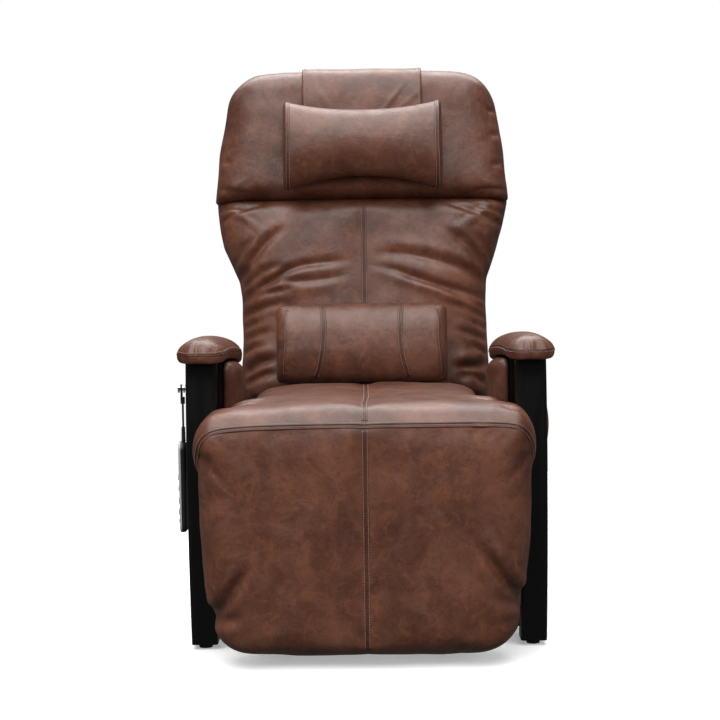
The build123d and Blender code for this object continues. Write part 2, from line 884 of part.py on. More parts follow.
def cable_gland():
    with BuildPart() as gland:
        cylinder_z((-320, -175), 9, 68, 76)
        cylinder_z((-320, -175), 6, 76, 88)
        cylinder_z((-320, -175), CORD_RADIUS + 0.4, 68, 88, Mode.SUBTRACT)
    save(gland, "cable_gland")


LEAD_POINTS = [
    (-371, -204, 516),
    (-370.6, -200, 457),
    (-369.8, -196, 400),
    (-369.6, -192, 345),
    (-367, -187, 292),
    (-350, -182, 242),
    (-330, -178, 192),
    (-320, -175.5, 138),
    (-320, -175, 70),
]


SIDES = ((-1, "right"), (1, "left"))

for side, side_name in SIDES:
    front_leg(side, f"{side_name}_front_leg")
    rear_leg(side, f"{side_name}_rear_leg")
    arm_rail(side, f"{side_name}_arm_rail")
    lower_rail(side, f"{side_name}_lower_rail")
    side_board(side, f"{side_name}_side_board")
    outer_pad(side, f"{side_name}_outer_pad")
    inner_pad(side, f"{side_name}_inner_pad")
    arm_pad(side, f"{side_name}_arm_pad")
    seat_plate(side, f"{side_name}_seat_plate")
    leg_bar(side, f"{side_name}_leg_bar")
    back_side_tube(side, f"{side_name}_back_tube")

frame_bolts()
floor_glides()
cross_tube((-160, 48), "front_cross_tube")
cross_tube((235, 48), "rear_cross_tube")
seat_pivot_tube()
control_box()
mains_inlet()
seat_tube(FRONT_TUBE, BACK_DRIVE_X, BACK_DRIVE_TAIL, "seat_front_tube")
seat_tube(REAR_TUBE, LEG_DRIVE_X, LEG_DRIVE_TAIL, "seat_rear_tube")
seat_deck()
seat_cushion()
leg_cross_tubes()
calf_cushion()
back_cross_tubes()
back_shell()
back_cushion()
massage_motors()
head_cushion()
head_flap()
head_pillow()
lumbar_pillow()

back_end = about(BACK_PIVOT, BACK_LEVER, BACK_TRAVEL / 2)
leg_end = about(KNEE_PIVOT, LEG_LEVER, LEG_TRAVEL / 2)
drive_body(BACK_DRIVE_TAIL, back_end, BACK_DRIVE_X, -1, "back_drive_body")
drive_rod(BACK_DRIVE_TAIL, back_end, BACK_DRIVE_X, 210, "back_drive_rod")
drive_body(LEG_DRIVE_TAIL, leg_end, LEG_DRIVE_X, 1, "leg_drive_body")
drive_rod(LEG_DRIVE_TAIL, leg_end, LEG_DRIVE_X, 130, "leg_drive_rod")

remote_stud()
remote_hanger()
strain_relief()
remote_cord()
remote_shell()
remote_face()
for number, height in enumerate(KEY_HEIGHTS, start=1):
    remote_key((34, 13), 5, height, f"remote_key_{number}")
remote_key((20, 10), 4.5, ROUND_KEY_HEIGHT, "remote_power_key")
cable_gland()
cord(LEAD_POINTS, CORD_RADIUS, "handset_lead")
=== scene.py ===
"""Massage chair: looks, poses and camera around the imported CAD. Metres; the chair faces -Y."""

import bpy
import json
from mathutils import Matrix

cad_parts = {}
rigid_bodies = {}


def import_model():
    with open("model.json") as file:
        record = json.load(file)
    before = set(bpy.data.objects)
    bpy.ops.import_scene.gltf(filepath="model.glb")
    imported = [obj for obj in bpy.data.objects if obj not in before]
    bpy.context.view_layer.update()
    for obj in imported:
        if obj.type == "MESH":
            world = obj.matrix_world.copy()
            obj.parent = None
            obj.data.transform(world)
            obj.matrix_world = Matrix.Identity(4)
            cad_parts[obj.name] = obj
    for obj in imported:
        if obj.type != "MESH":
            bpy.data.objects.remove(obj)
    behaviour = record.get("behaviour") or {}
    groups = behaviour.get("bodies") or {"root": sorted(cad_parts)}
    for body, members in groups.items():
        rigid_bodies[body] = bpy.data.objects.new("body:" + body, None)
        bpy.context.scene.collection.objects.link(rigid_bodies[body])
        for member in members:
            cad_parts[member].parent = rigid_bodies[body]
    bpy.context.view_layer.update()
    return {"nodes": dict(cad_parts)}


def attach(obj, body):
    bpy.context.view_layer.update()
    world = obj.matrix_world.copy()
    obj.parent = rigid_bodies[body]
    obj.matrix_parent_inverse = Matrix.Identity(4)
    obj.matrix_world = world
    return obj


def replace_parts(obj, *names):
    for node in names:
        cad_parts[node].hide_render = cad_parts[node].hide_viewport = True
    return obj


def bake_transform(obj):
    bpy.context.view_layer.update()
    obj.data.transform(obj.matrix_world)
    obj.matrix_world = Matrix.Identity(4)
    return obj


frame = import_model()

import json
import math

import bmesh
import bpy
import numpy as np
from mathutils import Matrix, Vector, noise
from mathutils.bvhtree import BVHTree

scene = bpy.context.scene
nodes = frame["nodes"]

# ---- camera and light

def set_camera():
    """The main view: 4 m in front, 0.3 m below the top of the back, looking 5 degrees down."""
    pitch, yaw, roll = math.radians(5.003), math.radians(-0.123), math.radians(-0.8)
    look = Vector((math.sin(yaw) * math.cos(pitch), math.cos(yaw) * math.cos(pitch), -math.sin(pitch)))
    right = look.cross(Vector((0, 0, 1))).normalized()
    up = right.cross(look)
    x = right * math.cos(roll) + up * math.sin(roll)
    y = up * math.cos(roll) - right * math.sin(roll)
    data = bpy.data.cameras.new("camera")
    data.sensor_width, data.lens = 36, 91.48
    camera = bpy.data.objects.new("camera", data)
    camera.matrix_world = Matrix.Translation((-0.0036, -3.962, 0.9185)) @ Matrix((x, y, -look)).transposed().to_4x4()
    scene.collection.objects.link(camera)
    scene.camera = camera


def softbox(name, place, target, size, power, glossy=True):
    data = bpy.data.lights.new(name, "AREA")
    data.shape = "RECTANGLE"
    data.size, data.size_y = size
    data.energy = power
    light = bpy.data.objects.new(name, data)
    light.location = place
    light.rotation_euler = (Vector(target) - Vector(place)).to_track_quat("-Z", "Y").to_euler()
    light.visible_glossy = glossy
    scene.collection.objects.link(light)


def set_light():
    """White studio: a broad soft sky above and softboxes in front and behind. Only the camera sees the world white."""
    world = bpy.data.worlds.new("studio")
    world.use_nodes = True
    tree = world.node_tree
    seen = tree.nodes["Background"]
    seen.inputs["Color"].default_value = (1, 1, 1, 1)
    seen.inputs["Strength"].default_value = 1.0
    fill = tree.nodes.new("ShaderNodeBackground")
    fill.inputs["Color"].default_value = (1.0, 0.985, 0.97, 1)
    fill.inputs["Strength"].default_value = 0.1
    path = tree.nodes.new("ShaderNodeLightPath")
    both = tree.nodes.new("ShaderNodeMixShader")
    tree.links.new(path.outputs["Is Camera Ray"], both.inputs[0])
    tree.links.new(fill.outputs[0], both.inputs[1])
    tree.links.new(seen.outputs[0], both.inputs[2])
    tree.links.new(both.outputs[0], tree.nodes["World Output"].inputs["Surface"])
    scene.world = world
    scene.view_settings.view_transform = "Standard"
    data = bpy.data.lights.new("sky_panel", "SUN")
    data.energy = 3.9
    data.angle = math.radians(66)
    sun = bpy.data.objects.new("sky_panel", data)
    sun.rotation_euler = (math.radians(24), math.radians(-5), 0)
    scene.collection.objects.link(sun)
    softbox("front_left", (-2.6, -2.9, 1.7), (0, 0, 0.55), (1.2, 1.7), 50, glossy=False)
    softbox("front_right", (2.7, -2.7, 1.6), (0, 0, 0.55), (1.1, 1.7), 36, glossy=False)
    softbox("over_behind", (0.0, 1.25, 2.75), (0, -0.1, 0.5), (2.8, 1.3), 78)
    softbox("behind", (0.6, 3.2, 1.6), (0, 0.2, 0.7), (2.0, 1.4), 30, glossy=False)


# ---- materials

class Paint:
    """Shorthand for building node materials."""

    def __init__(self, name):
        self.material = bpy.data.materials.new(name)
        self.material.use_nodes = True
        self.tree = self.material.node_tree
        self.shader = self.tree.nodes["Principled BSDF"]
        self.coords = self.tree.nodes.new("ShaderNodeTexCoord").outputs["Object"]

    def node(self, kind, sockets, **values):
        """A node whose sockets take a value, or a link from another node's output."""
        made = self.tree.nodes.new(kind)
        for key, value in values.items():
            setattr(made, key, value)
        for key, value in sockets.items():
            if isinstance(value, bpy.types.NodeSocket):
                self.tree.links.new(value, made.inputs[key])
            else:
                made.inputs[key].default_value = value
        return made

    def stretched(self, scale):
        return self.node("ShaderNodeMapping", {"Scale": scale, "Vector": self.coords}).outputs["Vector"]

    def noise(self, scale, detail, rough, coords=None, distortion=0.0):
        return self.node("ShaderNodeTexNoise", {"Scale": scale, "Detail": detail, "Roughness": rough,
                         "Distortion": distortion, "Vector": coords or self.coords}).outputs["Fac"]

    def cell_edges(self, scale):
        return self.node("ShaderNodeTexVoronoi", {"Vector": self.coords, "Scale": scale},
                         feature="DISTANCE_TO_EDGE").outputs["Distance"]

    def ramp(self, factor, *stops):
        made = self.node("ShaderNodeValToRGB", {"Fac": factor})
        while len(made.color_ramp.elements) < len(stops):
            made.color_ramp.elements.new(0.5)
        for element, (position, colour) in zip(made.color_ramp.elements, stops):
            element.position = position
            element.color = (*colour, 1)
        return made.outputs["Color"]

    def span(self, factor, low, high, start=0.3, end=0.7):
        """Factor from start to end, read as low to high."""
        return self.node("ShaderNodeMapRange", {"From Min": start, "From Max": end, "To Min": low, "To Max": high,
                         "Value": factor}).outputs["Result"]

    def tint(self, factor, base, colour):
        """Colour over base, by factor."""
        return self.node("ShaderNodeMix", {0: factor, 6: base, 7: (*colour, 1)}, data_type="RGBA").outputs[2]

    def bump(self, height, strength, distance, before=None):
        sockets = {"Strength": strength, "Distance": distance, "Height": height}
        if before is not None:
            sockets["Normal"] = before
        return self.node("ShaderNodeBump", sockets).outputs["Normal"]

    def done(self, colour, rough=None, normal=None, **sockets):
        for source, socket in ((colour, "Base Color"), (rough, "Roughness"), (normal, "Normal")):
            if source is not None:
                self.tree.links.new(source, self.shader.inputs[socket])
        for key, value in sockets.items():
            self.shader.inputs[key.replace("_", " ")].default_value = value
        return self.material


def leather(name, shade=1.0):
    """Brown pull-up leather: cloudy mottling, small rubbed flecks, pebble grain and a soft wax gloss."""
    p = Paint(name)
    # shade scales the whole colour: below 1 it makes a darker copy of the leather, which is painted shade
    tone = lambda r, g, b: (r * shade, g * shade, b * shade)
    cloud = p.noise(9.0, 8.0, 0.66, distortion=0.5)
    base = p.ramp(cloud, (0.34, tone(0.06, 0.0185, 0.0095)), (0.5, tone(0.1, 0.0345, 0.0195)),
                  (0.66, tone(0.15, 0.056, 0.033)))
    warm = p.span(p.noise(27, 7.0, 0.68, distortion=1.1), 0.0, 0.6, 0.5, 0.68)
    base = p.tint(warm, base, tone(0.185, 0.066, 0.03))
    worn = p.span(p.noise(13, 6.0, 0.6, distortion=0.7), 0.0, 0.35, 0.54, 0.7)
    base = p.tint(worn, base, tone(0.15, 0.075, 0.055))
    fleck = p.span(p.noise(95, 6.0, 0.72), 0.0, 0.55, 0.52, 0.7)
    base = p.tint(fleck, base, tone(0.052, 0.016, 0.008))
    grain = p.cell_edges(430)
    pores = p.noise(800, 3.0, 0.6)
    crumple = p.noise(34, 5.0, 0.6, distortion=0.8)
    normal = p.bump(crumple, 0.22, 0.004)
    normal = p.bump(p.span(grain, 0.0, 1.0, 0.0, 0.28), 0.2, 0.0006, normal)
    normal = p.bump(pores, 0.12, 0.0004, normal)
    rough = p.span(p.noise(30, 6.0, 0.65), 0.37, 0.5)
    return p.done(base, rough, normal, Specular_IOR_Level=0.6)


def thread(name):
    """Waxed thread, a little lighter than the leather: partly the thread's own colour, partly a painted glint for the
    light the stitches catch.
    """
    p = Paint(name)
    twist = p.noise(900, 2.0, 0.5)
    base = p.ramp(twist, (0.35, (0.215, 0.115, 0.085)), (0.65, (0.37, 0.225, 0.18)))
    return p.done(base, None, p.bump(twist, 0.4, 0.0003), Roughness=0.55)


def lacquer(name):
    """Black stained wood under a satin lacquer, its grain only just showing."""
    p = Paint(name)
    grain = p.noise(42, 6.0, 0.65, p.stretched((1.0, 1.0, 0.06)), 0.4)
    base = p.ramp(grain, (0.3, (0.001, 0.001, 0.001)), (0.7, (0.003, 0.0027, 0.0026)))
    rough = p.span(p.noise(70, 5.0, 0.6, p.stretched((1.0, 1.0, 0.12))), 0.24, 0.34)
    return p.done(base, rough, p.bump(grain, 0.08, 0.0008), Specular_IOR_Level=0.42)


def powder_coat(name, colour=(0.01, 0.01, 0.011)):
    """Black powder coat with a fine orange peel."""
    p = Paint(name)
    peel = p.noise(520, 3.0, 0.5)
    base = p.ramp(p.noise(14, 4.0, 0.6), (0.3, tuple(0.75 * c for c in colour)), (0.7, tuple(1.25 * c for c in colour)))
    return p.done(base, p.span(p.noise(60, 4.0, 0.6), 0.42, 0.58), p.bump(peel, 0.25, 0.0004))


def metal(name, colour, low, high):
    """Bare or plated metal. low and high are the ends of its roughness."""
    p = Paint(name)
    wear = p.noise(55, 6.0, 0.65)
    base = p.ramp(wear, (0.3, tuple(0.85 * c for c in colour)), (0.7, colour))
    return p.done(base, p.span(p.noise(130, 5.0, 0.6), low, high), p.bump(wear, 0.04, 0.0004), Metallic=1.0)


def plastic(name, colour, low, high, texture=700):
    """Moulded plastic or rubber. low and high are the ends of its roughness, and texture the scale of its grain."""
    p = Paint(name)
    mould = p.noise(texture, 3.0, 0.5)
    base = p.ramp(p.noise(30, 4.0, 0.6), (0.3, tuple(0.88 * c for c in colour)), (0.7, colour))
    return p.done(base, p.span(p.noise(90, 4.0, 0.6), low, high), p.bump(mould, 0.15, 0.0003))


def plywood(name):
    p = Paint(name)
    grain = p.noise(30, 7.0, 0.65, p.stretched((0.12, 1.0, 6.0)), 0.8)
    base = p.ramp(grain, (0.28, (0.3, 0.18, 0.09)), (0.5, (0.46, 0.31, 0.17)), (0.75, (0.6, 0.44, 0.27)))
    return p.done(base, p.span(grain, 0.5, 0.68), p.bump(grain, 0.25, 0.0008))


set_camera()
set_light()
LEATHER = leather("brown_leather")
# the seam strip takes a darker copy of the leather: painted shade for the shadow in the seam's crease
SHADED_SEAM_LEATHER = leather("seam_leather", 0.62)
THREAD = thread("thread")
finishes = {
    "leather": LEATHER,
    "foam": LEATHER,
    "black_wood": lacquer("black_lacquered_wood"),
    "black_steel": powder_coat("black_powder_coat"),
    "black_plastic": plastic("black_plastic", (0.014, 0.014, 0.015), 0.36, 0.5),
    "silver_plastic": plastic("silver_plastic", (0.46, 0.47, 0.49), 0.26, 0.36, 1100),
    "chrome": metal("chrome", (0.82, 0.83, 0.85), 0.06, 0.16),
    "plywood": plywood("birch_plywood"),
    "rubber": plastic("black_rubber", (0.012, 0.012, 0.012), 0.6, 0.8, 300),
    "zinc": metal("zinc_plate", (0.62, 0.63, 0.64), 0.28, 0.45),
}
for node in nodes.values():
    for held in node.material_slots:
        key = held.material.name.split(".")[0] if held.material else "black_steel"
        held.material = finishes.get(key, finishes["black_steel"])

floor_paint = Paint("studio_floor")
floor_cloud = floor_paint.noise(1.2, 3.0, 0.5)
floor_paint.done(floor_paint.ramp(floor_cloud, (0.3, (0.88, 0.88, 0.88)), (0.7, (0.9, 0.9, 0.9))), Roughness=0.7,
                 Emission_Color=(1, 1, 1, 1), Emission_Strength=0.3)
bpy.ops.mesh.primitive_plane_add(size=3.6, location=(0, 0.35, -0.0005))
floor = bpy.context.object
floor.name = "floor"
floor.data.materials.append(floor_paint.material)
floor.visible_diffuse = floor.visible_glossy = False  # it takes the shadow, and doesn't wash the chair with white


# ---- cords

CORD_RADIUS = 0.0022


def lead(name, points, radius, material):
    """A cord: a tube on one NURBS line whose control points are the route's own, and the points of that line."""
    data = bpy.data.curves.new(name, "CURVE")
    data.dimensions = "3D"
    spline = data.splines.new("NURBS")
    spline.points.add(len(points) - 1)
    for point, place in zip(spline.points, points):
        point.co = (*place, 1)
    spline.order_u = 3
    spline.use_endpoint_u = True
    spline.resolution_u = 16
    data.bevel_depth = radius
    data.bevel_resolution = 4
    data.use_fill_caps = True
    data.materials.append(material)
    route = bpy.data.objects.new(name + "_route", data)
    scene.collection.objects.link(route)
    mesh = bpy.data.meshes.new_from_object(route)
    data.bevel_depth = 0
    line = bpy.data.meshes.new_from_object(route)
    path = [v.co.copy() for v in line.vertices]
    bpy.data.meshes.remove(line)
    bpy.data.objects.remove(route)
    mesh.polygons.foreach_set("use_smooth", [True] * len(mesh.polygons))
    made = bpy.data.objects.new(name, mesh)
    scene.collection.objects.link(made)
    return made, path


jacket = plastic("cord_jacket", (0.01, 0.01, 0.011), 0.44, 0.56, 900)
handset_route = [
    (-0.371, -0.204, 0.516),
    (-0.3706, -0.2, 0.457),
    (-0.3698, -0.196, 0.4),
    (-0.3696, -0.192, 0.345),
    (-0.367, -0.187, 0.292),
    (-0.35, -0.182, 0.242),
    (-0.33, -0.178, 0.192),
    (-0.32, -0.1755, 0.138),
    (-0.32, -0.175, 0.07),
]
remote_route = [
    (-0.379, -0.205, 0.504),
    (-0.379, -0.205, 0.478),
    (-0.379, -0.205, 0.452),
    (-0.379, -0.205, 0.425),
]
for name, route, body, node in (("handset_cord", handset_route, "frame", "handset_lead"),
                                ("remote_cord_visible", remote_route, "remote", "remote_cord")):
    cord, path = lead(name, route, CORD_RADIUS, jacket)
    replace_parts(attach(cord, body), node)


# ---- mesh helpers

def mesh_object(name, points, faces, material):
    mesh = bpy.data.meshes.new(name)
    mesh.from_pydata([tuple(float(c) for c in p) for p in points], [], faces)
    mesh.materials.append(material)
    form = bmesh.new()
    form.from_mesh(mesh)
    bmesh.ops.recalc_face_normals(form, faces=form.faces)
    form.to_mesh(mesh)
    form.free()
    mesh.polygons.foreach_set("use_smooth", [True] * len(mesh.polygons))
    made = bpy.data.objects.new(name, mesh)
    scene.collection.objects.link(made)
    return made


def corners(mesh):
    co = np.empty(len(mesh.vertices) * 3)
    mesh.vertices.foreach_get("co", co)
    return co.reshape(-1, 3)


def facing(mesh):
    co = np.empty(len(mesh.vertices) * 3)
    mesh.vertices.foreach_get("normal", co)
    return co.reshape(-1, 3)


def move_to(mesh, co):
    mesh.vertices.foreach_set("co", co.reshape(-1))
    mesh.update()


ARC = 8  # rows of faces in a rounded rim


def spaced(low, high, r_low, r_high, steps):
    """Places from low to high, closer together where the rim rounds off."""
    room = high - low
    r_low, r_high = min(r_low, room * 0.48), min(r_high, room * 0.48)
    start = [low + r_low * (1 - math.cos(math.pi / 2 * i / ARC)) for i in range(ARC)]
    end = [high - r_high * (1 - math.cos(math.pi / 2 * i / ARC)) for i in range(ARC)]
    inner = room - r_low - r_high
    return np.array(start + [low + r_low + inner * i / steps for i in range(steps + 1)] + end[::-1])


def round_off(distance, radius):
    """Height of a quarter round at a distance in from its edge, from 0 to 1."""
    t = np.clip(distance / radius, 0, 1)
    return np.sqrt(1 - (1 - t) ** 2)


def skins(upper, lower):
    """Faces over two grids of point numbers, the lower one facing the other way."""
    faces = []
    for j in range(upper.shape[0] - 1):
        for i in range(upper.shape[1] - 1):
            for grid, ring in ((upper, ((0, 0), (0, 1), (1, 1), (1, 0))), (lower, ((0, 0), (1, 0), (1, 1), (0, 1)))):
                faces.append(tuple(int(grid[j + a, i + b]) for a, b in ring))
    return faces


def pad(name, place, span, sides, steps, edge, ends, under, rim, corner):
    """A closed stuffed form over a plan. v runs along span, x runs between sides(v), and place(x, v, h) puts a point in
    the row frame, with h 1 on the face and -1 underneath. edge and ends are how far in from the rim the face rounds
    off, under the same for the back, rim the height of the rim, and corner the plan's corner radius at each end."""
    v = spaced(span[0], span[1], ends[0], ends[1], steps[0])
    rows, low, high = [], [], []
    for at in v:
        lo, hi = sides(at)
        cut = 0.0
        for d, r in ((at - span[0], corner[0]), (span[1] - at, corner[1])):
            if d < r:
                cut = max(cut, r - math.sqrt(max(0.0, r * r - (r - d) ** 2)))
        low.append(lo + cut)
        high.append(hi - cut)
        rows.append(spaced(lo + cut, hi - cut, edge, edge, steps[1]))
    x = np.array(rows)
    low, high = np.array(low)[:, None], np.array(high)[:, None]
    n, m = x.shape
    vv = np.repeat(v[:, None], m, 1)
    across = np.minimum(x - low, high - x)
    face = round_off(across, edge) * round_off(vv - span[0], ends[0]) * round_off(span[1] - vv, ends[1])
    back = round_off(across, under[0]) * round_off(vv - span[0], under[1][0]) * round_off(span[1] - vv, under[1][1])
    top = place(x.ravel(), vv.ravel(), (rim + (1 - rim) * face).ravel())
    bottom = place(x.ravel(), vv.ravel(), (rim - (1 + rim) * back).ravel())
    points = list(top)
    inner = np.arange(n * m).reshape(n, m)
    for j in range(1, n - 1):
        for i in range(1, m - 1):
            inner[j, i] = len(points)
            points.append(bottom[j * m + i])
    return mesh_object(name, points, skins(np.arange(n * m).reshape(n, m), inner), LEATHER)


PUFF_PRESSURE = 4.0
PUFF_FRAMES = 20


def inflate(obj, cap, free):
    """Cloth pressure puffs the piece from inside. No point moves further than cap times its share in free."""
    rest = corners(obj.data)
    share = np.clip(free(rest), 0, 1)
    held = obj.vertex_groups.new(name="held")
    for level in range(1, 11):
        which = np.nonzero(np.round((1 - share) * 10).astype(int) == level)[0]
        if len(which):
            held.add([int(i) for i in which], level / 10, "REPLACE")
    cloth = obj.modifiers.new("puff", "CLOTH")
    s = cloth.settings
    s.quality = 5
    s.mass = 0.3
    s.tension_stiffness = s.compression_stiffness = 15
    s.shear_stiffness = 5
    s.bending_stiffness = 0.5
    s.use_pressure = True
    s.uniform_pressure_force = PUFF_PRESSURE
    s.effector_weights.gravity = 0
    s.vertex_group_mass = "held"
    cloth.collision_settings.use_collision = False
    cloth.point_cache.frame_start, cloth.point_cache.frame_end = 1, PUFF_FRAMES
    for at in range(1, PUFF_FRAMES + 1):
        scene.frame_set(at)
    shape = obj.evaluated_get(bpy.context.evaluated_depsgraph_get())
    puffed = corners(shape.data)
    obj.modifiers.remove(cloth)
    obj.vertex_groups.clear()
    scene.frame_set(1)
    move = puffed - rest
    length = np.linalg.norm(move, axis=1) + 1e-9
    most = cap * share
    # a soft cap, so the swelling eases off rather than stopping flat
    kept = most * (1 - np.exp(-length / np.maximum(most, 1e-6)))
    move_to(obj.data, rest + move * (kept / length)[:, None])


def refine(obj):
    """One subdivision, written into the mesh."""
    made = obj.modifiers.new("refine", "SUBSURF")
    made.levels = made.render_levels = 1
    shape = obj.evaluated_get(bpy.context.evaluated_depsgraph_get())
    mesh = bpy.data.meshes.new_from_object(shape)
    obj.modifiers.remove(made)
    old, obj.data = obj.data, mesh
    bpy.data.meshes.remove(old)
    mesh.name = obj.name


def softened(points):
    """A stroke's corners, eased."""
    p = [np.array(q, float) for q in points]
    for _ in range(2):
        q = [p[0]]
        for a, b in zip(p, p[1:]):
            q += [a * 0.75 + b * 0.25, a * 0.25 + b * 0.75]
        p = q + [p[-1]]
    return np.array(p)


def stroke_field(at, line):
    """Distance to a stroke, the side it lies on, and how far along it is, for each place in at."""
    best = np.full(len(at), 9.0)
    side = np.ones(len(at))
    along = np.zeros(len(at))
    runs = np.linalg.norm(np.diff(line, axis=0), axis=1)
    total, done = runs.sum(), 0.0
    for a, b, run in zip(line, line[1:], runs):
        d = (b - a) / max(run, 1e-9)
        r = at - a
        t = np.clip(r @ d, 0, run)
        gap = r - t[:, None] * d
        far = np.linalg.norm(gap, axis=1)
        near = far < best
        cross = d[0] * r[:, 1] - d[1] * r[:, 0]
        best = np.where(near, far, best)
        side = np.where(near, np.sign(cross), side)
        along = np.where(near, (done + t) / total, along)
        done += run
    return best, side, along


FOLD_DEPTH, FOLD_WIDTH = 0.82, 1.3  # common factors on every stroke


def folds(obj, chart, strokes):
    """Presses fold lines into a cushion. A stroke is (depth, width, lean, points): a valley along the points, with the
    leather swelling beside it, mostly on the side lean says (+1 left of the stroke's run, -1 right, 0 both). It is
    full strength at its first point and dies out at its last."""
    mesh = obj.data
    co, out = corners(mesh), facing(mesh)
    at, weight = chart(co, out)
    push = np.zeros(len(co))
    for depth, width, lean, points in strokes:
        depth, width = depth * FOLD_DEPTH, width * FOLD_WIDTH
        line = softened(points)
        low, high = line.min(0) - 5 * width, line.max(0) + 5 * width
        near = np.nonzero(((at > low) & (at < high)).all(1) & (weight > 0))[0]
        if not len(near):
            continue
        d, side, along = stroke_field(at[near], line)
        fade = np.clip((1 - along) / 0.45, 0, 1)
        fade = fade * fade * (3 - 2 * fade) * np.clip(0.35 + along / 0.18, 0, 1)
        ends = np.where((along <= 0) | (along >= 1), np.exp(-(d / (1.2 * width)) ** 2), 1.0)
        valley = -np.exp(-(d / width) ** 2)
        swell = np.exp(-((d - 2.1 * width) / (1.5 * width)) ** 2)
        swell *= np.where(side * lean > 0, 0.46, 0.14) if lean else 0.3
        push[near] += depth * fade * ends * (valley + swell)
    move_to(mesh, co + out * (push * weight)[:, None])


def undulate(obj, size, height, keep):
    """Slow uneven rise and fall, so no face is dead flat."""
    mesh = obj.data
    co, out = corners(mesh), facing(mesh)
    broad = np.array([noise.noise(Vector(p) / size) for p in co])
    fine = np.array([0.5 * noise.noise(Vector(p) / (0.43 * size) + Vector((7, 3, 5))) for p in co])
    lift = (broad + fine) * keep(co)
    move_to(mesh, co + out * (lift * height)[:, None])


def even(points, pitch):
    """The same line with its points pitch apart."""
    p = np.array(points, float)
    run = np.concatenate([[0], np.cumsum(np.linalg.norm(np.diff(p, axis=0), axis=1))])
    count = max(2, int(round(run[-1] / pitch)))
    s = np.linspace(0, run[-1], count + 1)
    return np.stack([np.interp(s, run, p[:, k]) for k in range(3)], 1)


def through(points, steps=10):
    """A smooth line through a few points, for a seam's course."""
    p = [np.array(q, float) for q in points]
    p = [2 * p[0] - p[1]] + p + [2 * p[-1] - p[-2]]
    line = []
    for a, b, c, d in zip(p, p[1:], p[2:], p[3:]):
        for k in range(steps):
            t = k / steps
            line.append(0.5 * (2 * b + (c - a) * t + (2 * a - 5 * b + 4 * c - d) * t * t
                               + (3 * b - a - 3 * c + d) * t ** 3))
    return line + [p[-2]]


def on_surface(tree, mesh, line, pitch):
    """The line laid on the mesh, with the surface's direction and the line's own."""
    line = even(line, pitch)
    spots, normals = [], []
    out = facing(mesh)
    for p in line:
        where, _, face, _ = tree.find_nearest(Vector(p))
        spots.append(np.array(where))
        ring = [out[i] for i in mesh.polygons[face].vertices]
        normals.append(np.mean(ring, 0))
    spots, normals = np.array(spots), np.array(normals)
    for _ in range(2):
        spots[1:-1] = (spots[:-2] + 2 * spots[1:-1] + spots[2:]) / 4
        normals[1:-1] = (normals[:-2] + normals[1:-1] + normals[2:]) / 3
    run = np.gradient(spots, axis=0)
    run /= np.linalg.norm(run, axis=1)[:, None] + 1e-12
    normals -= (normals * run).sum(1)[:, None] * run
    normals /= np.linalg.norm(normals, axis=1)[:, None] + 1e-12
    return spots, normals, np.cross(run, normals)


STITCH = 0.00072  # radius of the thread


def tube_faces(base, rings, k):
    """A closed tube's faces over rings of k points each, from the point numbered base."""
    faces = [(base + j * k + i, base + j * k + (i + 1) % k, base + (j + 1) * k + (i + 1) % k, base + (j + 1) * k + i)
             for j in range(rings - 1) for i in range(k)]
    last = base + (rings - 1) * k
    return faces + [tuple(range(base, base + k)), tuple(range(last + k - 1, last - 1, -1))]


def seam(name, target, courses, rows=(-0.0046, 0.0046), width=0.0078, height=0.0017, pitch=0.005, groove=0.0022):
    """A sewn seam on a cushion: two folded lips with the join between them, and a row of stitches on each. With a
    width of 0 it is the stitches alone."""
    mesh = target.data
    tree = BVHTree.FromPolygons([v.co for v in mesh.vertices], [p.vertices for p in mesh.polygons])
    if width:
        lip = [(0.15 * width, 0.85 * height), (0.36 * width, height), (0.6 * width, 0.45 * height),
               (0.78 * width, 0.3 * height), (width, -0.0012)]
        section = [(-a, b) for a, b in lip[::-1]] + [(0, -groove)] + lip + [(0, -0.004)]
        points, faces = [], []
        for line in courses:
            base = len(points)
            spots, up, side = on_surface(tree, mesh, line, 0.0035)
            for p, u, s in zip(spots, up, side):
                points += [p + s * a + u * b for a, b in section]
            faces += tube_faces(base, len(spots), len(section))
        # the lips and groove take the darker leather copy: painted shade for the shadow in the seam's crease
        mesh_object(name + "_seam", points, faces, SHADED_SEAM_LEATHER).parent = target
    lift = (0.45 * height if width else 0.0002) + 0.00015
    turns = [k * math.pi / 3 for k in range(6)]
    points, faces = [], []
    for line in courses:
        spots, up, side = on_surface(tree, mesh, line, pitch)
        for row in rows:
            for a, b, u, s in zip(spots, spots[1:], up, side):
                start, end = a + (b - a) * 0.16, a + (b - a) * 0.84
                ahead = (end - start) / (np.linalg.norm(end - start) + 1e-12)
                base = len(points)
                for at, r, down in ((start - ahead * 0.0003, 0.00015, 0.0004), (start + ahead * 0.0007, STITCH, 0.0),
                                    (end - ahead * 0.0007, STITCH, 0.0), (end + ahead * 0.0003, 0.00015, 0.0004)):
                    middle = at + s * row + u * (lift - down)
                    points += [middle + (s * math.cos(q) + u * math.sin(q)) * r for q in turns]
                faces += tube_faces(base, 4, 6)
    mesh_object(name + "_stitches", points, faces, THREAD).parent = target


def smooth(t):
    """0 to 1, eased at both ends."""
    t = np.clip(t, 0, 1)
    return t * t * (3 - 2 * t)


# ---- back rest

LEAN = math.radians(14.5)
SIN, COS = math.sin(LEAN), math.cos(LEAN)
HINGE_Y, HINGE_Z = 0.225, 0.4


def on_back(x, u, n):
    """u runs up the back from its hinge, n stands off it to the front."""
    return np.stack([x, HINGE_Y + u * SIN - n * COS, HINGE_Z + u * COS + n * SIN], -1)


def back_of(co):
    y, z = co[:, 1] - HINGE_Y, co[:, 2] - HINGE_Z
    return y * SIN + z * COS, -y * COS + z * SIN


def back_chart(co, out):
    u, n = back_of(co)
    front = -out[:, 1] * COS + out[:, 2] * SIN
    return np.stack([co[:, 0], u], 1), smooth((front + 0.05) / 0.75)


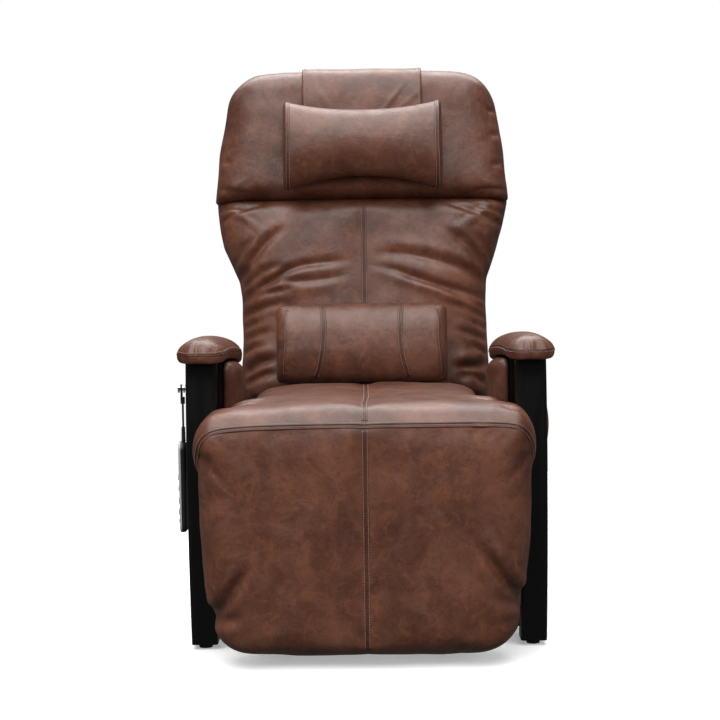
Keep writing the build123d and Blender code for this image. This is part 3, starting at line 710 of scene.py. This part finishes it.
LOWER_U = [0.05, 0.09, 0.2, 0.3, 0.338, 0.37, 0.416, 0.455, 0.524]
LOWER_RIGHT = [0.284, 0.287, 0.283, 0.284, 0.289, 0.304, 0.325, 0.334, 0.341]
LOWER_LEFT = [0.284, 0.287, 0.282, 0.281, 0.284, 0.294, 0.311, 0.322, 0.337]


def lower_sides(u):
    """How far the lower cushion reaches to the chair's right and left; its right shoulder is the fuller one."""
    return -np.interp(u, LOWER_U, LOWER_RIGHT), np.interp(u, LOWER_U, LOWER_LEFT)


def lower_back():
    """The long lower cushion of the back: waisted, wrinkled towards its centre seam."""
    def place(x, u, h):
        right, left = lower_sides(u)
        w = np.where(x < 0, -right, left)
        fall = 0.026 + 0.026 * smooth((0.36 - u) / 0.14)
        front = 0.114 - fall * (np.abs(x) / w) ** 2.6 - 0.003 * np.exp(-(x / 0.012) ** 2)
        front = front - 0.014 * smooth((u - 0.482) / 0.034)
        n = -0.012 + (front + 0.012) * (h + 1) / 2
        return on_back(x, u, n)
    made = pad("lower_back_cushion", place, (0.043, 0.525), lower_sides,
               (52, 68), 0.05, (0.026, 0.028), under=(0.02, (0.02, 0.02)), rim=-0.25, corner=(0.01, 0.005))
    def free(co):
        u, n = back_of(co)
        return smooth((n + 0.008) / 0.03) * (1 - 0.9 * np.exp(-(co[:, 0] / 0.012) ** 2)) * smooth((0.52 - u) / 0.02)
    inflate(made, 0.01, free)
    refine(made)
    undulate(made, 0.11, 0.0026, free)
    strokes = [
        (0.0085, 0.0075, 1, [(-0.29, 0.325), (-0.247, 0.387), (-0.211, 0.426), (-0.165, 0.452)]),
        (0.007, 0.0065, -1, [(-0.28, 0.29), (-0.211, 0.321), (-0.16, 0.352), (-0.1, 0.361), (-0.012, 0.366)]),
        (0.0045, 0.006, 1, [(-0.28, 0.286), (-0.216, 0.296), (-0.14, 0.306)]),
        (0.0042, 0.0065, -1, [(-0.25, 0.312), (-0.19, 0.32), (-0.117, 0.318), (-0.061, 0.326), (-0.016, 0.345)]),
        (0.005, 0.006, 1, [(-0.285, 0.31), (-0.232, 0.345), (-0.18, 0.362)]),
        (0.007, 0.006, 1, [(0.285, 0.281), (0.173, 0.306), (0.122, 0.32), (0.067, 0.343), (0.004, 0.354)]),
        (0.0075, 0.0085, -1, [(0.29, 0.318), (0.217, 0.349), (0.153, 0.368), (0.089, 0.382), (0.012, 0.378)]),
        (0.0055, 0.006, 1, [(0.282, 0.258), (0.215, 0.284), (0.152, 0.315), (0.08, 0.336)]),
        (0.0075, 0.008, -1, [(0.29, 0.325), (0.269, 0.371), (0.227, 0.411), (0.165, 0.45)]),
        (0.005, 0.007, -1, [(0.3, 0.365), (0.272, 0.41), (0.235, 0.44)]),
        (0.0045, 0.007, 1, [(-0.3, 0.365), (-0.272, 0.405), (-0.235, 0.438)]),
        (0.0065, 0.0065, 1, [(0.335, 0.452), (0.28, 0.47), (0.229, 0.492), (0.16, 0.506)]),
        (0.005, 0.0055, -1, [(0.332, 0.482), (0.285, 0.49), (0.235, 0.503)]),
        (0.006, 0.006, 0, [(-0.334, 0.5), (-0.253, 0.503), (-0.19, 0.508)]),
        (0.005, 0.0055, 1, [(-0.325, 0.47), (-0.285, 0.49), (-0.235, 0.505)]),
        (0.005, 0.006, 1, [(-0.28, 0.248), (-0.211, 0.268), (-0.165, 0.272)]),
        (0.004, 0.0055, 1, [(-0.28, 0.222), (-0.23, 0.236)]),
        (0.005, 0.006, 1, [(-0.28, 0.197), (-0.199, 0.212)]),
        (0.0045, 0.0055, 1, [(-0.28, 0.166), (-0.225, 0.182)]),
        (0.0095, 0.008, 1, [(-0.278, 0.118), (-0.24, 0.14), (-0.19, 0.144)]),
        (0.007, 0.007, -1, [(-0.275, 0.092), (-0.23, 0.108), (-0.19, 0.112)]),
        (0.005, 0.006, -1, [(0.28, 0.24), (0.215, 0.262), (0.17, 0.268)]),
        (0.004, 0.0055, -1, [(0.28, 0.216), (0.235, 0.228)]),
        (0.005, 0.006, -1, [(0.28, 0.188), (0.193, 0.211)]),
        (0.0045, 0.0055, -1, [(0.28, 0.16), (0.225, 0.174)]),
        (0.0095, 0.008, -1, [(0.28, 0.134), (0.233, 0.119), (0.186, 0.124)]),
        (0.007, 0.007, 1, [(0.277, 0.086), (0.245, 0.104), (0.2, 0.096)]),
    ]
    deeper = 1.25
    folds(made, back_chart, [(deeper * depth, *stroke) for depth, *stroke in strokes])
    seam("lower_back", made, [through([on_back(0.0, u, 0.115) for u in (0.1, 0.2, 0.3, 0.4, 0.49)])])
    return made


HEAD_U = [0.514, 0.63, 0.75, 0.826]
HEAD_W = [0.341, 0.33, 0.313, 0.302]


def mirrored(u, places, halves):
    """The same reach to both sides."""
    return -np.interp(u, places, halves), np.interp(u, places, halves)


def beside_flap(co):
    return smooth((np.abs(co[:, 0]) - 0.142) / 0.05)


def head_cushion():
    """The head cushion, whose lower edge rolls over the lower one."""
    def place(x, u, h):
        w = np.interp(u, HEAD_U, HEAD_W)
        front = 0.12 - 0.022 * np.clip((np.abs(x) / w - 0.42) / 0.58, 0, 1) ** 1.8
        return on_back(x - 0.003, u, -0.012 + (front + 0.012) * (h + 1) / 2)
    made = pad("head_cushion_cover", place, (0.517, 0.826), lambda u: mirrored(u, HEAD_U, HEAD_W),
               (34, 68), 0.05, (0.026, 0.05), under=(0.02, (0.012, 0.03)), rim=0.1, corner=(0.005, 0.084))
    def free(co):
        u, n = back_of(co)
        return smooth((n + 0.008) / 0.03) * smooth((u - 0.52) / 0.02) * (0.08 + 0.92 * beside_flap(co))
    inflate(made, 0.007, free)
    refine(made)
    undulate(made, 0.12, 0.0026, lambda co: smooth((back_of(co)[1] + 0.008) / 0.03) * beside_flap(co))
    folds(made, back_chart, [
        (0.005, 0.006, -1, [(-0.332, 0.545), (-0.3, 0.53), (-0.24, 0.524)]),
        (0.006, 0.006, 1, [(0.33, 0.535), (0.285, 0.528), (0.235, 0.524)]),
        (0.0035, 0.0055, 1, [(0.322, 0.6), (0.29, 0.585)]),
        (0.0035, 0.0055, 1, [(0.318, 0.67), (0.288, 0.66)]),
        (0.0035, 0.0055, 1, [(0.312, 0.725), (0.285, 0.718)]),
        (0.003, 0.0055, -1, [(-0.322, 0.61), (-0.295, 0.598)]),
    ])
    return made


def rear_panel():
    """The upholstered rear face of the back."""
    us = [0.034, 0.09, 0.3, 0.368, 0.44, 0.511, 0.63, 0.799]
    ws = [0.249, 0.261, 0.261, 0.267, 0.295, 0.319, 0.309, 0.285]
    def place(x, u, h):
        w = np.interp(u, us, ws)
        return on_back(x, u, -0.012 - 0.018 * (0.5 + 0.5 * h) * (1 - 0.1 * (np.abs(x) / w) ** 4))
    made = pad("rear_panel", place, (0.034, 0.799), lambda u: mirrored(u, us, ws),
               (56, 40), 0.022, (0.022, 0.022), under=(0.004, (0.004, 0.004)), rim=-0.6, corner=(0.03, 0.05))
    refine(made)
    def chart(co, out):
        rearward = out[:, 1] * COS - out[:, 2] * SIN
        return np.stack([co[:, 0], back_of(co)[0]], 1), smooth((rearward - 0.2) / 0.5)
    folds(made, chart, [
        (0.002, 0.006, 0, [(-0.258, 0.35), (-0.2, 0.372), (-0.12, 0.38)]),
        (0.002, 0.006, 0, [(0.258, 0.345), (0.205, 0.366), (0.13, 0.372)]),
        (0.0018, 0.006, 0, [(-0.262, 0.315), (-0.205, 0.325)]),
        (0.0018, 0.006, 0, [(0.262, 0.31), (0.21, 0.322)]),
    ])
    rises = [0.06, 0.2, 0.3, 0.37, 0.44, 0.51, 0.63, 0.74]
    outline = [on_back(side * (np.interp(u, us, ws) - 0.02), u, -0.03)
               for side, run in ((-1, rises), (1, rises[::-1])) for u in run]
    middle = [on_back(0.0, u, -0.03) for u in (0.06, 0.2, 0.35, 0.51)]
    cross = [on_back(x, 0.515 - 0.01 * (x / 0.3) ** 2, -0.03) for x in (-0.296, -0.15, 0, 0.15, 0.296)]
    seam("rear_panel", made, [through(middle), through(cross)])
    seam("rear_panel_edge", made, [through(outline)], rows=(0.0,), width=0)
    return made


FLAP_HALF = 0.138


def flap():
    """The leather flap that hangs over the top of the back and carries the head pillow."""
    course = through([on_back(0.0, u, n) for u, n in (
        (0.632, 0.125), (0.7, 0.1252), (0.76, 0.1242), (0.8032, 0.1146), (0.8235, 0.0918), (0.8305, 0.0606),
        (0.8262, 0.0228), (0.8145, -0.005), (0.802, -0.023), (0.785, -0.0318), (0.76, -0.0335), (0.7, -0.0335),
        (0.628, -0.033))], 8)
    course = even(course, 0.006)
    length = float(np.linalg.norm(np.diff(course, axis=0), axis=1).sum())
    run = np.gradient(course, axis=0)
    run /= np.linalg.norm(run, axis=1)[:, None]
    across = np.array([1.0, 0, 0])
    out = np.cross(across, run)
    if out[0] @ np.array([0, -COS, SIN]) < 0:
        out = -out
    columns = np.linspace(-FLAP_HALF, FLAP_HALF, 56)
    n, m = len(course), len(columns)
    points = []
    # ridges fanning up from behind the pillow: height, place across, slope and width
    ridges = ((1.0, 0.048, 0.75, 0.006), (-0.6, 0.06, 0.75, 0.007), (0.8, 0.078, 1.15, 0.006),
              (0.7, -0.07, -0.55, 0.007), (0.5, -0.012, 0.15, 0.008))
    for side in (0.00125, -0.00125):
        for j in range(n):
            s = j / (n - 1) * length
            up = s - 0.08
            seen = 0.0022 * float(smooth((0.085 - up) / 0.06) * smooth((up + 0.05) / 0.03))
            for x in columns:
                rim = min(FLAP_HALF - abs(x), s, length - s)
                thick = side * (1.0 if rim > 0.0006 else 0.5)
                lift = 0.0006 * math.sin(x * 46 + 1.3 * math.sin(s * 31)) * smooth(s / 0.05)
                fold = seen * sum(r * math.exp(-((x - at - slope * up) / wide) ** 2) for r, at, slope, wide in ridges)
                hem = 0.0011 * math.exp(-((FLAP_HALF - abs(x) - 0.004) / 0.004) ** 2) if side > 0 else 0
                points.append(course[j] + across * x + out[j] * (thick + max(-0.0004, lift + fold) + hem))
    faces = skins(*np.arange(2 * n * m).reshape(2, n, m))
    o = lambda k, j, i: k * n * m + j * m + i
    for i in range(m - 1):
        faces += [(o(0, 0, i), o(1, 0, i), o(1, 0, i + 1), o(0, 0, i + 1)),
                  (o(0, n - 1, i), o(0, n - 1, i + 1), o(1, n - 1, i + 1), o(1, n - 1, i))]
    for j in range(n - 1):
        faces += [(o(0, j, 0), o(0, j + 1, 0), o(1, j + 1, 0), o(1, j, 0)),
                  (o(0, j, m - 1), o(1, j, m - 1), o(1, j + 1, m - 1), o(0, j + 1, m - 1))]
    made = mesh_object("head_flap_leather", points, faces, LEATHER)
    hems = [[p + across * x + away * 0.003 for p, away in zip(course, out)] for x in (-0.131, 0.131)]
    hems.append([course[-2] + across * x + out[-2] * 0.003 for x in np.linspace(-0.13, 0.13, 12)])
    seam("head_flap", made, hems, rows=(0.0,), width=0)
    return made, length


# ---- pillows

def bolster(name, ends, low, high, depth, sink, edge, cap, steps, rim):
    """A small pillow across the back. It runs along X, from low(x) to high(x) up the back, and from depth[0] to
    depth[1] off it. Its ends are thinner by sink."""
    def place(u, x, h):
        n0, n1 = depth
        middle = (u - low(x)) / (high(x) - low(x)) * 2 - 1
        out = np.clip(np.abs(x - (ends[0] + ends[1]) / 2) / (ends[1] - ends[0]) * 2, 0, 1)
        front = n1 - sink * out ** 2.5 - 0.004 * middle ** 2
        return on_back(x, u, n0 + (front - n0) * (h + 1) / 2)
    return pad(name, place, ends, lambda x: (float(low(x)), float(high(x))), steps, edge, (cap, cap),
               under=(0.02, (0.006, 0.006)), rim=rim, corner=(0.012, 0.012))


def head_pillow():
    """The head pillow, bowed up at both ends, with a seam round each."""
    low = lambda x: 0.551 - 0.033 * (np.abs(x) / 0.175) ** 2.0
    high = lambda x: 0.707 + 0.02 * (np.abs(x) / 0.175) ** 2.2
    made = bolster("head_pillow_cover", (-0.181, 0.181), low, high, (0.1312, 0.2075),
                   sink=0.004, edge=0.076, cap=0.011, steps=(46, 10), rim=-0.3)
    def free(co):
        u, n = back_of(co)
        x = np.abs(co[:, 0])
        return smooth((n - 0.1312) / 0.02) * (1 - 0.95 * np.exp(-((x - 0.169) / 0.005) ** 2))
    inflate(made, 0.007, free)
    refine(made)
    loop = ((0.04, 0.145), (0.0, 0.17), (0.12, 0.196), (0.35, 0.208), (0.65, 0.208), (0.88, 0.196), (1.0, 0.17),
            (0.96, 0.145))
    rings = []
    for x in (-0.169, 0.169):
        lo, hi = float(low(x)), float(high(x))
        rings.append(through([on_back(x, lo + (hi - lo) * t, n) for t, n in loop]))
    seam("head_pillow", made, rings, rows=(-0.0036, 0.0036), width=0.006, height=0.0012, groove=0.0016)
    return made


def lumbar_pillow():
    """The lumbar pillow, with two seams across it and one near each end."""
    low = lambda x: 0.079 + 0 * x
    high = lambda x: 0.258 - 0.004 * np.abs((x + 0.007) / 0.18) ** 4
    made = bolster("lumbar_pillow_cover", (-0.199, 0.184), low, high, (0.1185, 0.191),
                   sink=0.012, edge=0.066, cap=0.026, steps=(46, 12), rim=-0.15)
    courses = [[(-0.095, 0.245), (-0.092, 0.205), (-0.095, 0.15), (-0.101, 0.115), (-0.11, 0.09)],
               [(0.081, 0.245), (0.077, 0.2), (0.08, 0.145), (0.086, 0.115), (0.095, 0.09)],
               [(-0.174, 0.243), (-0.183, 0.205), (-0.185, 0.15), (-0.184, 0.092)],
               [(0.159, 0.243), (0.168, 0.205), (0.17, 0.15), (0.169, 0.092)]]
    def free(co):
        u, n = back_of(co)
        held = np.zeros(len(co))
        for course in courses:
            x = np.interp(u, [p[1] for p in course[::-1]], [p[0] for p in course[::-1]])
            held = np.maximum(held, np.exp(-((co[:, 0] - x) / 0.006) ** 2))
        return smooth((n - 0.119) / 0.02) * (1 - 0.9 * held)
    inflate(made, 0.008, free)
    refine(made)
    def bowed(line):
        n = np.interp([u for _, u in line], [0.1, 0.13, 0.18, 0.225, 0.25], [0.165, 0.19, 0.197, 0.19, 0.16])
        return [on_back(x, u, off) for (x, u), off in zip(line, n)]
    seam("lumbar_pillow", made, [through(bowed(c)) for c in courses[:2]])
    seam("lumbar_pillow_ends", made, [through(bowed(c)) for c in courses[2:]], rows=(0.0,), width=0.004, height=0.0008)
    return made


# ---- seat and calf rest

REAR = 0.122  # the cover's rear edge, in Y
KNEE = (-0.392, 0.455)  # the knee's centre, in Y and Z
ROLL = 0.064  # its radius
SEAT = 0.514  # lengths along the cover: over the seat, round the knee, down the calf
BEND = ROLL * math.pi / 2
CALF = 0.436
UNDER_Y, UNDER_Z = -0.335, 0.3845  # the knee's inner corner


def cover_path(v):
    """Outer and inner edge of the cover's section at v, in Y and Z: over the seat, round the knee, down the calf."""
    v = np.asarray(v, float)
    seat, calf = v < SEAT, v > SEAT + BEND
    t = np.clip(v / SEAT, 0, 1)
    turn = np.clip((v - SEAT) / BEND, 0, 1) * math.pi / 2
    down = np.clip((v - SEAT - BEND) / CALF, 0, 1)
    oy = np.where(seat, REAR - t * (REAR - KNEE[0]), np.where(calf, KNEE[0] - ROLL, KNEE[0] - ROLL * np.sin(turn)))
    oz = np.where(seat, 0.5125 + 0.0065 * np.sin(t * math.pi / 2),
                  np.where(calf, KNEE[1] - down * CALF, KNEE[1] + ROLL * np.cos(turn)))
    iy = np.where(seat, 0.092 - t * (0.092 - UNDER_Y), np.where(calf, -0.3285, UNDER_Y + 0.0065 * np.sin(turn)))
    iz = np.where(seat, 0.391, np.where(calf, UNDER_Z - down * (UNDER_Z - 0.024), UNDER_Z + 0.0065 * np.cos(turn)))
    return oy, oz, iy, iz


def cover_shift(v):
    """The knee and calf rest sit a little towards the chair's right."""
    return -0.004 * smooth((v - 0.36) / 0.1)


COVER_V = [0.514, 0.56, 0.6, 0.625, 0.645, 0.78, 0.85, 0.9, 0.93, 0.9635, 0.99, 1.015, 1.048]
COVER_RIGHT = [0.3345, 0.34, 0.341, 0.3385, 0.33, 0.329, 0.327, 0.3235, 0.314, 0.299, 0.303, 0.299, 0.29]
COVER_LEFT = [0.3335, 0.3375, 0.337, 0.333, 0.3285, 0.3255, 0.3205, 0.313, 0.301, 0.305, 0.303, 0.296, 0.285]


def cover_sides(v):
    """How far the cover reaches to the chair's right and left at v. Fold notches show in the calf rest's outline."""
    y = REAR - v
    between_arms, past_arms = 0.256, 0.294
    seat = between_arms + (past_arms - between_arms) * smooth((-0.228 - y) / 0.05)
    knee = smooth((-0.334 - y) / 0.04)
    right, left = (np.where(v < SEAT, seat + (half[0] - past_arms) * knee, np.interp(v, COVER_V, half))
                   for half in (COVER_RIGHT, COVER_LEFT))
    return -right, left


def cover_chart(co, out):
    """Across, and along the cover from the rear of the seat."""
    y, z = co[:, 1], co[:, 2]
    turn = np.arctan2(KNEE[0] - y, z - KNEE[1])
    on_seat = y > KNEE[0]
    on_calf = (~on_seat) & (z < KNEE[1])
    v = np.where(on_seat, REAR - y, np.where(on_calf, SEAT + BEND + KNEE[1] - z, SEAT + ROLL * turn))
    round_knee = out[:, 2] * np.cos(turn) - out[:, 1] * np.sin(turn)
    face = np.where(on_seat, out[:, 2], np.where(on_calf, -out[:, 1], round_knee))
    return np.stack([co[:, 0] - cover_shift(v), v], 1), smooth((face + 0.2) / 0.65)


CROSS_SEAM = [(-0.3345, 0.64), (-0.33, 0.622), (-0.318, 0.603), (-0.292, 0.591), (-0.24, 0.586), (-0.12, 0.584),
              (0.0, 0.584), (0.12, 0.584), (0.24, 0.584), (0.292, 0.587), (0.318, 0.596), (0.33, 0.61), (0.3345, 0.628)]


def cover_point(x, v):
    """A point on the cover's face, near enough to lay a seam from."""
    oy, oz, iy, iz = (float(q) for q in cover_path(v))
    w = float(abs(cover_sides(v)[int(x > 0)]))
    drop = float(round_off(np.array(max(0.0, w - abs(x))), 0.06))
    k = 0.5 + 0.5 * drop
    return np.array([x + float(cover_shift(v)), iy + (oy - iy) * k, iz + (oz - iz) * k])


def seat_cover():
    """Seat, knee roll and calf rest under one leather cover that bends at the knee."""
    def place(x, v, h):
        oy, oz, iy, iz = cover_path(v)
        right, left = cover_sides(v)
        w = np.where(x < 0, -right, left)
        share = np.abs(x) / w
        # the seat is crowned in each half, and falls away to its sides at the rear
        seat = smooth((SEAT + 0.02 - v) / 0.1)
        fall = seat * (0.013 * share ** 3.2 * smooth((0.45 - v) / 0.3) + 0.004 * np.exp(-(x / 0.016) ** 2))
        fall += 0.004 * np.exp(-(x / 0.014) ** 2) * (1 - seat)
        fall += 0.008 * (1 - seat) * share ** 4
        # the ends of the knee roll droop, the chair's right end more than its left
        fall += np.where(x < 0, 0.014, 0.002) * share ** 4 * smooth((v - 0.36) / 0.08) * smooth((0.62 - v) / 0.1)
        # a pocket behind the calf for the leg drive's rod
        across = smooth((x - 0.026) / 0.01) * smooth((0.104 - x) / 0.01)
        along = smooth((v - SEAT - 0.3 * BEND) / (0.4 * BEND)) * smooth((SEAT + BEND + 0.14 - v) / 0.02)
        iy = iy - 0.06 * (across * along)
        k = (h + 1) / 2 * (1 - fall / np.hypot(oy - iy, oz - iz))
        return np.stack([x + cover_shift(v), iy + (oy - iy) * k, iz + (oz - iz) * k], -1)
    made = pad("seat_and_calf_cover", place, (0.0, SEAT + BEND + CALF), cover_sides,
               (118, 72), 0.042, (0.045, 0.036), under=(0.016, (0.02, 0.016)), rim=-0.15, corner=(0.02, 0.06))
    def free(co):
        at, _ = cover_chart(co, np.tile([0.0, -0.7, 0.7], (len(co), 1)))
        x, v = at[:, 0], at[:, 1]
        cross = np.interp(x, [p[0] for p in CROSS_SEAM], [p[1] for p in CROSS_SEAM])
        held = np.maximum(np.exp(-(x / 0.01) ** 2), np.exp(-((v - cross) / 0.01) ** 2))
        on_top = smooth((co[:, 2] - 0.4) / 0.04) * (co[:, 1] > KNEE[0])
        on_front = smooth((-0.345 - co[:, 1]) / 0.03) * (co[:, 1] <= KNEE[0] + 0.05)
        beside = 1 - 0.9 * smooth((np.abs(x) - 0.225) / 0.02) * (co[:, 1] > -0.35)
        return np.maximum(on_top, on_front) * (1 - 0.92 * held) * beside
    inflate(made, 0.009, free)
    refine(made)
    undulate(made, 0.13, 0.0028, free)
    folds(made, cover_chart, [
        (0.014, 0.008, -1, [(-0.312, 0.966), (-0.296, 0.957), (-0.26, 0.905), (-0.221, 0.842)]),
        (0.014, 0.008, 1, [(0.318, 0.938), (0.3, 0.93), (0.272, 0.895), (0.236, 0.845), (0.205, 0.8)]),
        (0.006, 0.007, 1, [(-0.306, 0.972), (-0.28, 0.972), (-0.245, 0.955)]),
        (0.0055, 0.007, -1, [(0.308, 0.944), (0.285, 0.945), (0.255, 0.925)]),
        (0.0045, 0.007, -1, [(-0.328, 0.64), (-0.3, 0.665), (-0.27, 0.705)]),
        (0.0045, 0.007, 1, [(0.328, 0.645), (0.3, 0.67), (0.272, 0.708)]),
        (0.004, 0.006, 0, [(-0.3, 0.47), (-0.262, 0.478), (-0.225, 0.47)]),
        (0.005, 0.006, 0, [(-0.285, 0.43), (-0.245, 0.445), (-0.205, 0.44)]),
        (0.005, 0.006, 0, [(0.29, 0.44), (0.248, 0.45), (0.205, 0.446)]),
        (0.004, 0.006, 0, [(-0.255, 0.4), (-0.222, 0.412), (-0.19, 0.405)]),
        (0.004, 0.006, 0, [(0.258, 0.405), (0.226, 0.415), (0.196, 0.41)]),
        (0.0035, 0.006, 0, [(0.322, 0.545), (0.29, 0.535), (0.262, 0.52)]),
    ])
    seam("seat_cross", made, [through([cover_point(x, v) for x, v in CROSS_SEAM], 6)])
    centre = [cover_point(0.0, v) for v in np.linspace(0.03, 0.573, 36)]
    lower = [cover_point(0.0, v) for v in np.linspace(0.595, 1.03, 30)]
    seam("seat_centre", made, [centre, lower])
    return made


# ---- arms

def under_arm(y):
    """Height of the arm rail's top, an arc of 2.17 m radius."""
    return 0.594 - (2.17 - np.sqrt(2.17 ** 2 - (y + 0.29) ** 2))


def word(side):
    return "right" if side < 0 else "left"


def arm_pad(side):
    """side is -1 for the chair's right arm. The pad follows the arm rail's curve."""
    start, nose = -0.33, 0.044  # its front end, and the corner radius there
    def sides(y):
        inner = np.interp(y, [-0.331, -0.2, -0.1, 0.0, 0.134], [0.284, 0.281, 0.274, 0.269, 0.277])
        return inner, np.interp(y, [-0.331, 0.06, 0.134], [0.381, 0.381, 0.3735])
    def place(x, y, h):
        lo, hi = sides(y)
        share = np.clip(np.abs(x - (lo + hi) / 2) / ((hi - lo) / 2), 0, 1)
        tall = 0.0475 - 0.004 * share ** 2
        return np.stack([side * x, y, under_arm(y) + 0.0018 + tall * (h + 1) / 2], -1)
    made = pad(word(side) + "_arm_cushion", place, (start, 0.133), sides, (54, 10), 0.04, (0.045, 0.035),
               under=(0.009, (0.009, 0.009)), rim=-0.42, corner=(nose, 0.034))
    def free(co):
        rise = co[:, 2] - under_arm(co[:, 1])
        return smooth((rise - 0.008) / 0.012) * (1 - 0.85 * np.exp(-((rise - 0.02) / 0.0035) ** 2))
    inflate(made, 0.0045, free)
    refine(made)
    # gathered leather where the top panel is sewn to the band round the front
    mesh = made.data
    co, out = corners(mesh), facing(mesh)
    rise = co[:, 2] - under_arm(co[:, 1])
    middle = sum(sides(co[:, 1])) / 2
    about = np.arctan2(co[:, 0] * side - middle, -(co[:, 1] + 0.285))
    front = smooth((-0.255 - co[:, 1]) / 0.03)
    ripple = np.sin(about * 13 + 1.7 * np.sin(about * 5 + side)) * np.exp(-((rise - 0.028) / 0.011) ** 2) * front
    along = np.sin(co[:, 1] * 170 + 2.1 * np.sin(co[:, 1] * 39)) * np.exp(-((rise - 0.027) / 0.008) ** 2)
    move_to(mesh, co + out * (0.0017 * (ripple + along * (1 - front) * 0.35))[:, None])
    # the seam runs forward along the inner edge, round the front and back along the outer edge
    inner, outer = [], []
    for y in (0.1, 0.02, -0.07, -0.15, -0.23, -0.29, -0.318, -0.327):
        lo, hi = sides(y)
        cut = nose - math.sqrt(nose ** 2 - max(0.0, nose - (y - start)) ** 2)
        inner.append((lo + cut, y))
        outer.append((hi - cut, y))
    line = through([np.array([side * x, y, under_arm(y) + 0.0215]) for x, y in inner + outer[::-1]], 8)
    seam(made.name, made, [line], rows=(0.0036,), width=0.0046, height=0.0012, groove=0.0016, pitch=0.0046)
    return made


def inner_pad(side):
    """The thin pad on the arm's inner face."""
    def place(z, y, h):
        crown = 0.006 * (np.abs((y + 0.053) / 0.153)) ** 2
        x = 0.2955 - (0.0325 - crown) * (h + 1) / 2
        return np.stack([side * x, y, z], -1)
    made = pad(word(side) + "_inner_cushion", place, (-0.2055, 0.0995), lambda y: (0.433, float(under_arm(y)) - 0.003),
               (32, 12), 0.024, (0.022, 0.022), under=(0.006, (0.006, 0.006)), rim=-0.5, corner=(0.024, 0.02))
    refine(made)
    undulate(made, 0.07, 0.0009, lambda co: smooth((0.292 - np.abs(co[:, 0])) / 0.01))
    return made


def outer_pad(side):
    """The padded panel on the arm's outer face."""
    def sides(y):
        top = float(under_arm(y)) - 0.002
        if y > 0.05:
            top = min(top, 0.571 - (y - 0.05) * 2.62)
        return 0.3625, max(top, 0.376)
    def place(z, y, h):
        most, front = (0.0075, 0.175) if side < 0 else (0.018, 0.205)
        swell = most * np.exp(-((z - 0.445) / 0.075) ** 2) * smooth((y + front) / 0.06)
        x = 0.3415 + (0.0235 + swell) * (h + 1) / 2
        return np.stack([side * x, y, z], -1)
    made = pad(word(side) + "_outer_cushion", place, (-0.21, 0.13), sides, (38, 18), 0.026,
               (0.024, 0.02), under=(0.006, (0.006, 0.006)), rim=-0.55, corner=(0.026, 0.01))
    refine(made)
    undulate(made, 0.08, 0.001, lambda co: smooth((np.abs(co[:, 0]) - 0.345) / 0.01))
    return made


# ---- the chair

def upholstery(piece, body, fill, *stands_for):
    """Puts a padded piece on its body, in place of CAD solids. The cover has no body of its own."""
    if body:
        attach(piece, body)
    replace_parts(piece, *stands_for)
    return piece


upholstery(lower_back(), "back", 0.7, "back_cushion")
upholstery(head_cushion(), "back", 0.7, "head_cushion")
upholstery(rear_panel(), "back", 0.9, "back_shell")
draped, drop = flap()
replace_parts(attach(draped, "back"), "head_flap")
upholstery(head_pillow(), "head_rest", 0.8, "head_pillow")
upholstery(lumbar_pillow(), "lumbar_rest", 0.8, "lumbar_pillow")
cover = upholstery(seat_cover(), None, 0.75, "seat_cushion", "calf_cushion")
for side in (-1, 1):
    upholstery(arm_pad(side), "frame", 0.85, word(side) + "_arm_pad")
    upholstery(inner_pad(side), "frame", 0.85, word(side) + "_inner_pad")
    upholstery(outer_pad(side), "frame", 0.85, word(side) + "_outer_pad")

# the cover and what is sewn to it stand free of any body, with their places written into their meshes
for piece in [cover] + list(cover.children):
    piece.parent = None
    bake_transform(piece)

bpy.context.view_layer.update()
